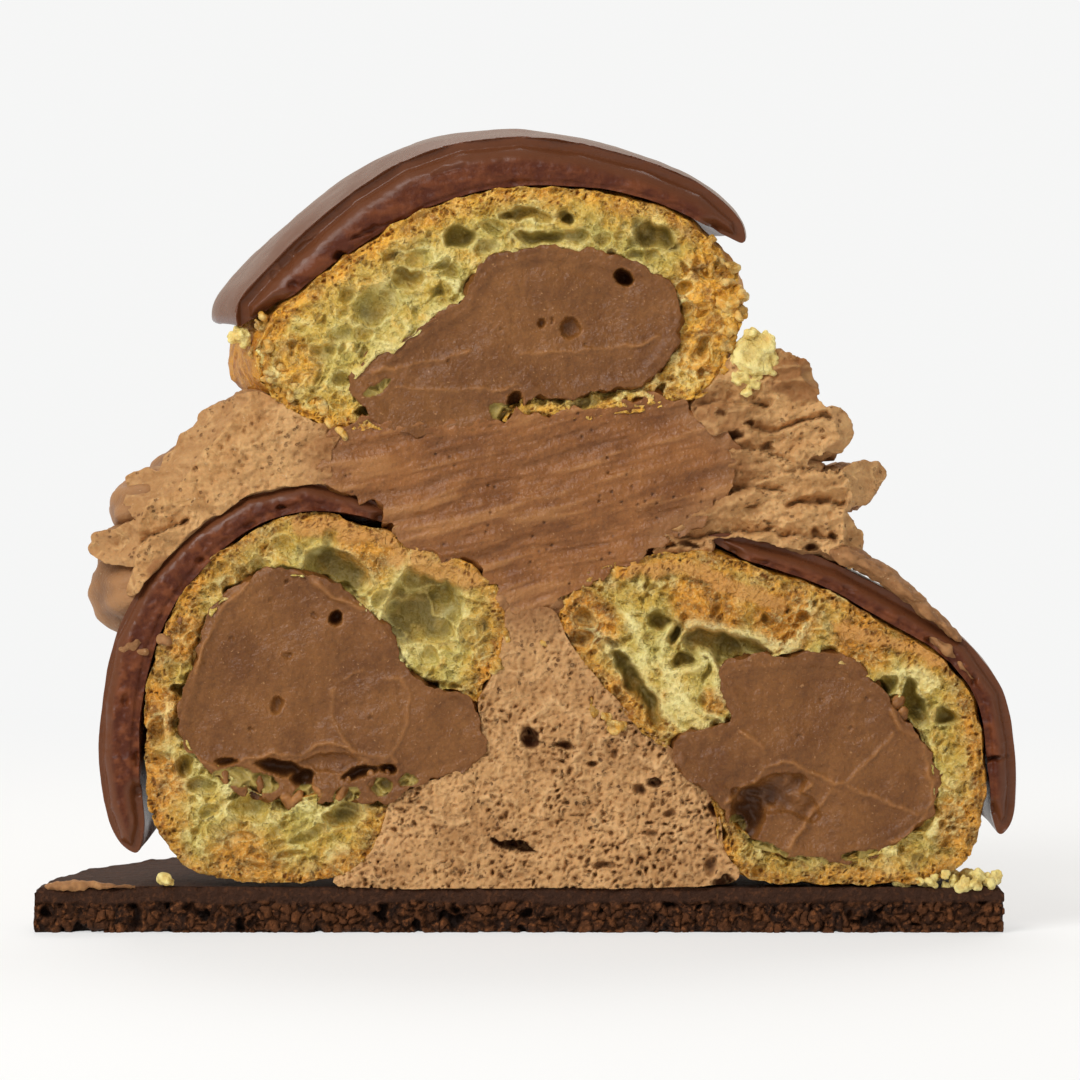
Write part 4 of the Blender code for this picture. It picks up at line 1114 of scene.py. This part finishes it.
swirl = {
    "seed": 101, "grow": 0.3, "noises": [(0.3, 2.5, 9), (0.14, 0.8, 10)],
    "fine": 0.5, "torn": 1.15, "grit": 0.2, "fewer": (-2, -1, 0.5),
    "calm": [(26, 51.5, 4, 2.2, 0, 1), (-33, 33.5, 2, 1.6, 0, 1)],
    "axis": 3.2, "groove": 0.28, "grooveEvery": 2.1,
    "ragged": (19, 25),  # the tongues at the right grow ragged between these places
    "pits": [
        (-30.6, 43.0, 0.28, 0.46, 0, 0.6), (-31.5, 38.2, 0.46, 0.46, 0, 0.9),
        (-21.0, 44.2, 0.37, 0.37, 0, 0.33), (-20.6, 45.1, 0.28, 0.28, 0, 0.25),
        (-25.6, 49.2, 0.28, 0.28, 0, 0.25), (-28.5, 43.8, 0.37, 0.28, 0, 0.25),
        (-24.7, 45.1, 0.37, 0.28, 0, 0.25), (-34.7, 31.9, 0.28, 0.37, 0, 0.25),
        (-23.6, 47.1, 0.37, 0.18, 0, 0.17), (-34.7, 37.0, 0.46, 0.18, 0, 0.17),
        (-29.6, 40.2, 0.37, 0.18, 0, 0.17), (-20.8, 47.6, 0.46, 0.28, 20, 0.25),
        (18.2, 45.9, 2.3, 0.46, 10, 2.2), (20.7, 47.3, 0.55, 0.37, 0, 1),
        (18.1, 48.2, 0.46, 0.37, 0, 1), (22.4, 45.1, 0.65, 0.37, 0, 1),
        (26.7, 37.2, 0.46, 0.46, 0, 0.9), (28.5, 36.6, 0.55, 0.55, 0, 1),
        (26.3, 35.8, 0.74, 0.55, 0, 1.2), (21.7, 42.0, 0.83, 0.28, 10, 0.6),
        (24.4, 43.0, 0.92, 0.28, 10, 0.6), (20.7, 39.7, 1.1, 0.28, 8, 0.7),
        (24.9, 39.7, 0.83, 0.28, 8, 0.6), (22.6, 37.4, 0.74, 0.28, 15, 0.6),
        (18.9, 49.9, 0.55, 0.28, 0, 0.5), (21.2, 51.7, 0.55, 0.28, 0, 0.4),
        (25.4, 47.6, 0.55, 0.28, 20, 0.5), (29.1, 43.0, 0.74, 0.28, 20, 0.8),
        (30.0, 40.2, 0.74, 0.28, 20, 0.8), (30.9, 45.7, 0.55, 0.28, 20, 0.6),
        (27.7, 40.2, 0.74, 0.28, 15, 0.6), (30.9, 37.9, 0.55, 0.28, 20, 0.6),
        (12.4, 36.5, 1.8, 0.37, -15, 2), (15.2, 36.0, 1.1, 0.28, -20, 1.2),
    ],
    "ridges": [],
    "creases": [
        [(20.4, 46.9), (23.3, 46.3), (25.4, 47.3), (29.4, 48.0)],
        [(26.0, 42.7), (29.9, 43.7), (31.9, 42.9)],
        [(18.2, 45.0), (21.5, 44.8), (24.6, 43.6)], [(24.5, 39.5), (28.0, 39.9), (31.5, 39.0)],
        [(12.5, 36.9), (16, 36.4), (20, 37.2), (25, 36.6), (29, 36.5)],
        [(15.5, 48.9), (19.5, 49.3), (22.5, 48.6)],
        [(-36.2, 36), (-33.5, 37), (-31.5, 38.2)], [(17.5, 40.6), (21, 41.2), (24, 40.6)],
    ],
    "sides": [
        (-1, [(-34.7, 28.6), (-35.3, 30.1), (-36.2, 33.6), (-35.6, 36.0), (-35.8, 37.4), (-34.7, 40.2),
              (-32.4, 40.9), (-30.6, 43.3), (-28.3, 46.0), (-25.5, 49.4)]),
        (1, [(30.0, 34.9), (29.4, 36.4), (29.4, 39.4), (30.0, 42.0), (27.2, 44.8), (29.2, 45.9),
             (27.4, 49.4), (25.4, 51.7)]),
    ],
}
swirlColours = {
    "base": (0.43, 0.21, 0.073), "light": (0.60, 0.34, 0.14), "ridge": (0.70, 0.42, 0.18),
    "deep": (0.10, 0.036, 0.013), "speck": (0.60, 0.40, 0.22), "roughness": 0.62, "specular": 0.12,
    "bump": 0.07, "mottle": 0.4, "patch": 4.0, "pores": 0.6,
    "beside": (0.23, 0.088, 0.028), "flank": (0.29, 0.14, 0.058), "outside": 0.8,
}
body = roughened(bodyOf("piped_swirl"), swirl["grow"], *swirl["noises"])
places, normals = positions(body.data), positions(body.data, "normal")
x, y, z = places.T / mm
turn = np.arctan2(y - cutY / mm, x + swirl["axis"])
grooves = np.sin(z * 2 * math.pi / swirl["grooveEvery"] + 5 * turn + 1.5 * noise(x, y, z, 6, 12))
# the grooves start behind the cut and leave out what faces up or down
behind = smoothStep(cutY / mm + 0.3, cutY / mm + 2.5, y) * (1 - np.abs(normals[:, 2]) ** 3)
setPositions(body.data, places + normals * (swirl["groove"] * grooves * behind)[:, None] * mm)
ragged = 0.75 * noise(x, y, z, 2.4, 13, 2) + 0.3 * noise(x, y, z, 0.8, 14, 2)
ragged = smoothStep(*swirl["ragged"], x) * ragged
setPositions(body.data, positions(body.data) + normals * ragged[:, None] * mm)
carved("piped_swirl", body, porousFace(swirl, cutOutline("smooth_cream")), 0.16, nothing,
       creamMaterial("piped_swirl_finish", swirlColours), "whipped_chocolate_cream")

print("creams are cut", flush=True)

# glaze caps
topGlaze = {
    "seed": 121, "round": 1.9, "dragged": 0.6, "stretch": 0.25, "pits": [
        (-20.1, 63.8, 1.8, 0.46, 35, 0.7), (-22.1, 62.1, 0.74, 0.74, 0, 0.9),
        (-23.1, 60.9, 0.55, 0.55, 0, 0.7), (-21.5, 60.0, 0.55, 0.46, 0, 0.5),
        (-17.0, 62.7, 0.74, 0.46, 0, 1), (-14.4, 65.1, 2.2, 0.28, 24, 0.5),
        (-16.7, 66.8, 1.1, 0.28, 30, 0.3), (-20.8, 58.7, 0.74, 0.37, 20, 0.4),
        (12.4, 70.2, 1.1, 0.28, -20, 0.3), (18.9, 63.8, 0.55, 0.37, 0, 0.4),
        (3.2, 72.1, 1.5, 0.28, 0, 0.2), (-7.0, 70.7, 1.7, 0.28, 15, 0.3),
    ],
}
leftGlaze = {
    "seed": 131, "round": 1.3, "dragged": 0.9, "stretch": 0.8, "pits": [
        (-22.6, 39.5, 0.46, 0.28, 0, 0.7), (-34.7, 25.9, 0.46, 0.37, 0, 0.33),
        (-37.0, 21.7, 0.28, 0.74, 0, 0.4), (-36.1, 16.2, 0.28, 0.83, 0, 0.5),
        (-36.7, 10.6, 0.28, 0.55, 0, 0.4), (-30.1, 34.6, 0.55, 0.28, 30, 0.4),
        (-25.5, 37.9, 0.74, 0.18, 15, 0.3),
    ],
}
rightGlaze = {
    "seed": 141, "round": 1.3, "dragged": 0.8, "stretch": 0.7, "pits": [
        (21.7, 34.6, 0.92, 0.28, -12, 0.4), (30.0, 31.9, 0.74, 0.28, -25, 0.4),
        (37.4, 27.3, 0.55, 0.28, -30, 0.5), (41.5, 23.6, 0.37, 0.65, 0, 0.5),
        (43.7, 16.3, 1.3, 0.28, 10, 0.9), (42.5, 12.5, 0.37, 0.74, 0, 0.4),
        (44.3, 9.7, 0.28, 0.46, 0, 0.3),
    ],
}
glazeColours = {
    # skin is a lighter brown than the cut, partly painted sheen on the glossy outside
    "skin": (0.135, 0.045, 0.018), "shade": (0.11, 0.035, 0.014), "cut": (0.075, 0.014, 0.003),
    "cutLight": (0.17, 0.045, 0.012), "deep": (0.03, 0.008, 0.004), "shine": 0.24,
    "cutRoughness": 0.46,
}


def glazeMaterial(name, values):
    made, tree, shader, place = startMaterial(name, values["shine"], 0.22)
    hollow, pale = masksOf(tree, "look")[1:3]
    face, shoulder = masksOf(tree, "smearFaceExtra")[1:3]
    cut = mixed(tree, grain(tree, place, 1.6, 0.45, 0.75, 6.0, 0.7), values["cut"], values["cutLight"])
    cut = mixed(tree, pale, cut, values["cutLight"])
    # painted shade in the pits of the cut
    cut = mixed(tree, hollow, cut, values["deep"])
    face = calculated(tree, "MULTIPLY", face, calculated(tree, "SUBTRACT", 1.0, shoulder))
    # the lighter skin is partly painted sheen
    skin = mixed(tree, grain(tree, place, 14, 0.3, 0.7), values["skin"], values["shade"])
    tree.links.new(mixed(tree, face, skin, cut), shader.inputs["Base Color"])
    dull = calculated(tree, "MULTIPLY", face, values["cutRoughness"] - values["shine"])
    smudge = calculated(tree, "MULTIPLY", grain(tree, place, 3, 0.4, 0.7), 0.1)
    rough = calculated(tree, "ADD", calculated(tree, "ADD", dull, smudge), values["shine"])
    tree.links.new(rough, shader.inputs["Roughness"])
    setBump(tree, shader, [
        (grain(tree, place, 6, 0.3, 0.7, 1.0), 0.06),
        (calculated(tree, "MULTIPLY", grain(tree, place, 0.5, 0.3, 0.7), face), 0.05),
    ])
    setGlow(shader, 0.05, (1.0, 0.4, 0.2), 0.6)
    return made


def glazeFace(outside, inside, values):
    # the cut rounds over widely towards the outside, as the glaze drew up while it set
    seed = values["seed"]

    def relief(x, z):
        outer, rim = segmentDistance(x, z, outside), segmentDistance(x, z, inside)
        wx, wz = x + 0.2 * flatNoise(x, z, 1, seed, 2), z + 0.2 * flatNoise(x, z, 1, seed + 3, 2)
        drag = flatNoise(x * values["stretch"], z, 0.9, seed + 1, 3, 0.6)
        pits = pitted(wx, wz, values["pits"])[0]
        depth = 0.08 + 0.18 * flatNoise(x, z, 3, seed + 2, 3) + 0.16 * drag
        depth += 0.05 * flatNoise(x, z, 0.7, seed + 9, 3) + pits
        shoulder = np.clip(1 - np.maximum(outer - 0.4, 0) / values["round"], 0, 0.985)
        depth = depth * (1 - 0.7 * smoothStep(0, 0.6, shoulder))
        depth += values["round"] * (1 - np.sqrt(1 - shoulder**2))
        inner = np.clip(1 - np.maximum(rim - 0.3, 0) / 0.4, 0, 0.97)
        depth += 0.4 * (1 - np.sqrt(1 - inner**2))
        # pits are painted darker: painted shade
        return {
            "depth": depth, "hollow": smoothStep(0.3, 1, pits),
            "pale": values["dragged"] * smoothStep(0.1, 0.7, -drag),
            "extra": smoothStep(0.1, 0.6, shoulder),
        }

    return relief


for node, shell, values in (
    ("top_glaze", "top_bun_shell", topGlaze), ("left_glaze", "left_bun_shell", leftGlaze),
    ("right_glaze", "right_bun_shell", rightGlaze),
):
    body = roughened(bodyOf(node), 0.2, (0.12, 4, values["seed"]))
    carved(node, body, glazeFace(*splitOutline(node, shell, 1.0), values), 0.13, nothing,
           glazeMaterial(node + "_finish", glazeColours), "chocolate_glaze")

print("glazes are cut", flush=True)

# rear bun, behind the cut
rearBun = {"grow": 0.2, "noises": [(0.3, 3, 151), (0.12, 0.9, 152)], "skinShade": 0.2}
rearGlaze = {"grow": 0.2, "noises": [(0.05, 4, 161)]}
body = roughened(bodyOf("rear_bun"), rearBun["grow"], *rearBun["noises"])
carved("rear_bun", body, None, 0.2, lambda x, y, z: {"crust": np.ones_like(x)},
       chouxMaterial("rear_bun_finish", {**chouxColours, "skinShade": rearBun["skinShade"]}),
       "choux_pastry")
body = roughened(bodyOf("rear_glaze"), rearGlaze["grow"], *rearGlaze["noises"])
carved("rear_glaze", body, None, 0.2, nothing, glazeMaterial("rear_glaze_finish", glazeColours),
       "chocolate_glaze")

# chocolate biscuit
biscuit = {"seed": 171, "layer": 2.8, "noises": [(0.12, 1.5, 181)]}  # crumbly up to layer, smooth above
biscuitColours = {
    "dark": (0.010, 0.004, 0.002), "mid": (0.055, 0.019, 0.007), "grain": (0.19, 0.066, 0.021),
    "top": (0.045, 0.018, 0.009), "roughness": 0.75,
}


def biscuitMaterial(name, values):
    made, tree, shader, place = startMaterial(name, values["roughness"], 0.15)
    crust, hollow, pale = masksOf(tree, "look")[:3]
    colour = mixed(tree, grain(tree, place, 1.0, 0.35, 0.65, 5.0, 0.65), values["dark"], values["mid"])
    colour = mixed(tree, grain(tree, place, 0.5, 0.52, 0.68, 4.0, 0.6), colour, values["grain"])
    colour = mixed(tree, calculated(tree, "MULTIPLY", pale, 0.6), colour, values["grain"])
    colour = mixed(tree, calculated(tree, "MULTIPLY", crust, 0.75), colour, values["top"])
    colour = mixed(tree, hollow, colour, values["dark"])
    tree.links.new(colour, shader.inputs["Base Color"])
    setBump(tree, shader, [
        (grain(tree, place, 0.8, 0.3, 0.7, 4.0), 0.15), (grain(tree, place, 0.25, 0.3, 0.7), 0.08),
    ])
    return made


def biscuitFace(x, z):
    seed = biscuit["seed"]
    layer = biscuit["layer"] + 0.25 * flatNoise(x, z * 0, 3, seed + 6, 2)
    crumbly = 1 - smoothStep(layer - 0.2, layer + 0.2, z)
    wx, wz = x + 0.4 * flatNoise(x, z, 0.9, seed, 3), z + 0.4 * flatNoise(x, z, 0.9, seed + 3, 3)
    first, second, own = bubbles(wx, wz, 0.95, seed)
    clump = smoothStep(0.0, 0.35, second - first) * (0.5 + 0.8 * own)
    small = bubbles(wx, wz, 0.42, seed + 1)[0]
    rough = flatNoise(x, z, 1.0, seed + 4, 4, 0.75)
    depth = 0.45 + crumbly * (0.25 - 0.4 * clump + 0.2 * rough) + 0.12 * small
    depth += 0.14 * flatNoise(x, z, 2.6, seed + 7, 2)
    gaps = smoothStep(0.3, 0.7, flatNoise(wx, wz, 1.2, seed + 6, 2)) * crumbly
    depth += 0.9 * gaps - 0.15 * (1 - crumbly)
    edge = np.minimum(np.abs(z - biscuitTop), np.abs(z))
    depth += 0.25 * (1 - smoothStep(0, 0.4, edge))
    shade = np.maximum(gaps, 0.6 * (1 - smoothStep(0.1, 0.5, clump)) * crumbly)
    return {"depth": depth, "crust": 1 - crumbly, "hollow": shade, "pale": crumbly * own * 0.8}


base = carved("biscuit_base", bodyOf("biscuit_base", "SIMPLE"), biscuitFace, 0.12,
              lambda x, y, z: {"crust": smoothStep(3.2, 4.0, z)},
              biscuitMaterial("biscuit_finish", biscuitColours), "chocolate_shortcrust")
roughened(base, 0.0, *biscuit["noises"])

print("rear bun and biscuit are done", flush=True)


# petals, smears, drips and crumbs that stand on the rest
def lumps(name, values, material, slot):
    # rounded lumps: (x, z, behind the cut, half length, half height, half depth, tilt), sizes in mm
    bm = bmesh.new()
    for x, z, back, rx, rz, ry, tilt in values["lumps"]:
        place = Matrix.Translation((x, cutY / mm + back, z)) @ Matrix.Rotation(math.radians(-tilt), 4, "Y")
        place = place @ Matrix.Diagonal((rx, ry, rz, 1))
        bmesh.ops.create_icosphere(bm, subdivisions=values["detail"], radius=1, matrix=place)
    bmesh.ops.scale(bm, vec=(mm, mm, mm), verts=bm.verts)
    piece = show(name, meshFrom(bm, name))
    spots, normals = positions(piece.data), positions(piece.data, "normal")
    x, y, z = spots.T / mm
    out = sum(height * noise(x, y, z, size, seed, 2) for height, size, seed in values["noises"])
    if "grooves" in values:
        deep, every = values["grooves"]
        out += deep * np.sin((z + 0.35 * y) * 2 * math.pi / every + 1.2 * noise(x, y, z, 4, 12))
    setPositions(piece.data, spots + normals * out[:, None] * mm)
    # sunk places are painted darker as painted shade, proud places paler as painted highlight
    hollow, crust = smoothStep(0.0, 0.3, -out), values.get("crust", 0.0)
    painted(piece, "look", 0 * x + crust, 0.5 * hollow, smoothStep(0.0, 0.25, out) * (1 - crust))
    painted(piece, "smearFaceExtra", 0 * x, 0 * x, 0 * x)
    return finished(piece, name, material, slot)


petals = {
    "detail": 5, "noises": [(0.1, 1.2, 15), (0.5, 4.0, 16)], "grooves": (0.08, 2.1),
    "lumps": [
        (-35.4, 39.3, 8.5, 3.4, 2.9, 7.0, 0), (-36.0, 31.9, 9.0, 4.8, 4.9, 7.6, 0),
        (-33.4, 35.6, 9.0, 4.2, 3.4, 7.6, 0), (-31.8, 42.6, 9.5, 3.8, 2.6, 7.4, 30),
    ],
}
# the lobes are a darker copy of the swirl cream: painted shade where they face away from the light
petalShadeColours = {
    **swirlColours,
    "base": (0.24, 0.112, 0.043), "deep": (0.15, 0.065, 0.024), "light": (0.32, 0.155, 0.062),
    "ridge": (0.36, 0.18, 0.075), "bump": 0.06, "mottle": 0.25, "roughness": 0.5, "specular": 0.2,
}
lumps("swirl_petals", petals, creamMaterial("petal_shade_finish", petalShadeColours), "whipped_chocolate_cream")
smears = {
    "detail": 5, "noises": [(0.16, 0.7, 37), (0.22, 2.0, 38)],
    "lumps": [
        (-36.4, 26.8, 0.6, 1.3, 0.6, 0.8, 20), (-35.4, 26.2, 0.6, 0.6, 0.4, 0.7, 0),
        (-33.4, 27.2, 0.6, 0.9, 0.5, 0.8, -20), (-31.9, 29.0, 0.6, 0.6, 0.4, 0.7, 40),
        (-1.9, 30.9, 1.1, 1.0, 1.2, 1.1, 0), (2.8, 30.4, 1.1, 1.0, 1.1, 1.1, 0),
        (15.3, 15.3, 0.3, 0.6, 0.9, 0.4, 0), (16.2, 14.3, 0.3, 0.7, 0.5, 0.4, -40),
        (-42.2, 4.4, 0.5, 2.4, 0.35, 0.6, 2), (-38.0, 4.35, 0.4, 2.0, 0.3, 0.5, -2),
        (38.6, 26.6, 0.8, 1.8, 0.45, 1.0, -36), (40.8, 24.4, 0.8, 1.2, 0.4, 1.0, -52),
        (29.8, 35.0, 1.8, 2.6, 1.0, 3.0, -14), (32.0, 33.9, 1.6, 3.2, 0.9, 3.0, -27),
        (34.6, 32.1, 1.4, 3.6, 0.75, 2.8, -37), (37.0, 30.0, 1.2, 3.0, 0.6, 2.2, -42),
        (39.0, 28.3, 1.0, 2.0, 0.45, 1.6, -44),
    ],
}
smearColours = {
    **swirlColours,
    "base": (0.22, 0.095, 0.032), "light": (0.32, 0.15, 0.055), "ridge": (0.42, 0.21, 0.085),
}
lumps("cream_smears", smears, creamMaterial("smear_finish", smearColours), "whipped_chocolate_cream")
drips = {
    "detail": 3, "noises": [(0.14, 0.6, 57), (0.22, 1.6, 58)],
    "lumps": [
        (-22.2, 12.7, 0.5, 0.45, 1.5, 0.5, 15), (-21.3, 12.3, 0.5, 0.3, 1.0, 0.4, -30),
        (-27.8, 14.4, 0.5, 0.35, 1.1, 0.45, 10), (-16.9, 13.4, 0.5, 0.4, 1.2, 0.45, -25),
        (-19.2, 13.7, 0.5, 0.4, 1.2, 0.45, 20), (-14.3, 14.3, 0.5, 0.4, 0.9, 0.4, -10),
        (-24.6, 13.8, 0.5, 0.35, 0.9, 0.4, 0), (-12.6, 14.6, 0.5, 0.3, 0.8, 0.4, 25),
        (34.4, 21.4, 0.4, 0.8, 0.45, 0.5, 30), (33.6, 20.7, 0.4, 0.5, 0.4, 0.5, 0),
        (35.0, 20.4, 0.4, 0.35, 0.6, 0.4, 0),
    ],
}
lumps("filling_drips", drips, creamMaterial("drip_finish", fillingColours), "chocolate_pastry_cream")
crumbColours = {
    **chouxColours, "cellShadeShare": 0.0, "crumb": (0.74, 0.58, 0.20), "crumbWarm": (0.78, 0.56, 0.16),
    "hollow": (0.5, 0.32, 0.07), "pale": (0.88, 0.72, 0.28),
}
rng = np.random.default_rng(201)
crumbs = {
    "detail": 4, "noises": [(0.22, 0.45, 27), (0.3, 1.0, 28)], "loose": 30,
    "lumps": [
        (20.8, 53.2, 0.4, 1.7, 1.9, 1.2, 30), (21.9, 54.6, 0.5, 1.2, 1.1, 1.0, 0),
        (22.3, 52.9, 0.4, 1.0, 1.3, 0.9, 0), (20.0, 51.6, 0.3, 1.1, 0.9, 0.8, 0),
        (21.3, 51.3, 0.3, 0.9, 0.7, 0.7, 0), (21.0, 55.5, 0.5, 0.8, 0.7, 0.8, 0),
        (20.4, 50.3, 0.1, 0.5, 0.45, 0.5, 0), (-26.6, 55.3, 1.6, 1.0, 0.8, 0.9, 0),
        (-25.9, 54.7, 1.4, 0.6, 0.6, 0.6, 0), (-24.6, 53.2, 0.6, 0.5, 0.9, 0.5, 0),
        (-33.3, 4.85, 0.5, 0.8, 0.6, 0.7, 0),
    ],
}
for _ in range(crumbs["loose"]):  # at the right end of the biscuit
    crumbs["lumps"].append((
        rng.uniform(34.5, 43.8), biscuitTop + rng.uniform(0.1, 1.1), rng.uniform(0.3, 2.5),
        *rng.uniform(0.3, 0.85, 3), rng.uniform(-60, 60),
    ))
lumps("choux_crumbs", crumbs, chouxMaterial("crumb_finish", crumbColours), "choux_pastry")
# flaky crust that stands off the walls of the buns: (x, z) along a wall, the number, and how far they stray
flakes = {
    "detail": 3, "noises": [(0.25, 0.5, 47), (0.25, 1.0, 48)], "crust": 0.7, "lumps": [],
    "walls": [
        ([(15.6, 64.6), (18.4, 61.5), (19.3, 58.5), (18.6, 55.5), (17.6, 52.5)], 58, 0.95),
        ([(-23.6, 57.2), (-24.4, 54.5), (-22.8, 51.0), (-19.8, 48.6), (-16.5, 46.8)], 40, 0.7),
        ([(1.2, 28.8), (2.6, 25.2), (6.4, 20.6), (9.0, 18.6)], 16, 0.35),
        ([(-2.2, 29.5), (-2.0, 26.5), (-3.4, 23.6)], 14, 0.35),
    ],
}
for line, count, spread in flakes["walls"]:
    corners = np.array(line)
    for _ in range(count):
        spot = rng.uniform(0, len(line) - 1.001)
        a, b = corners[int(spot)], corners[int(spot) + 1]
        x, z = a + (b - a) * (spot % 1) + rng.uniform(-spread, spread, 2)
        back, sizes, tilt = rng.uniform(0.1, 1.6), rng.uniform(0.25, 0.85, 3), rng.uniform(-80, 80)
        flakes["lumps"].append((x, z, back, *sizes, tilt))
lumps("crust_flakes", flakes, chouxMaterial("flake_finish", chouxColours), "choux_pastry")

print("petals, smears, drips and crumbs are placed", flush=True)
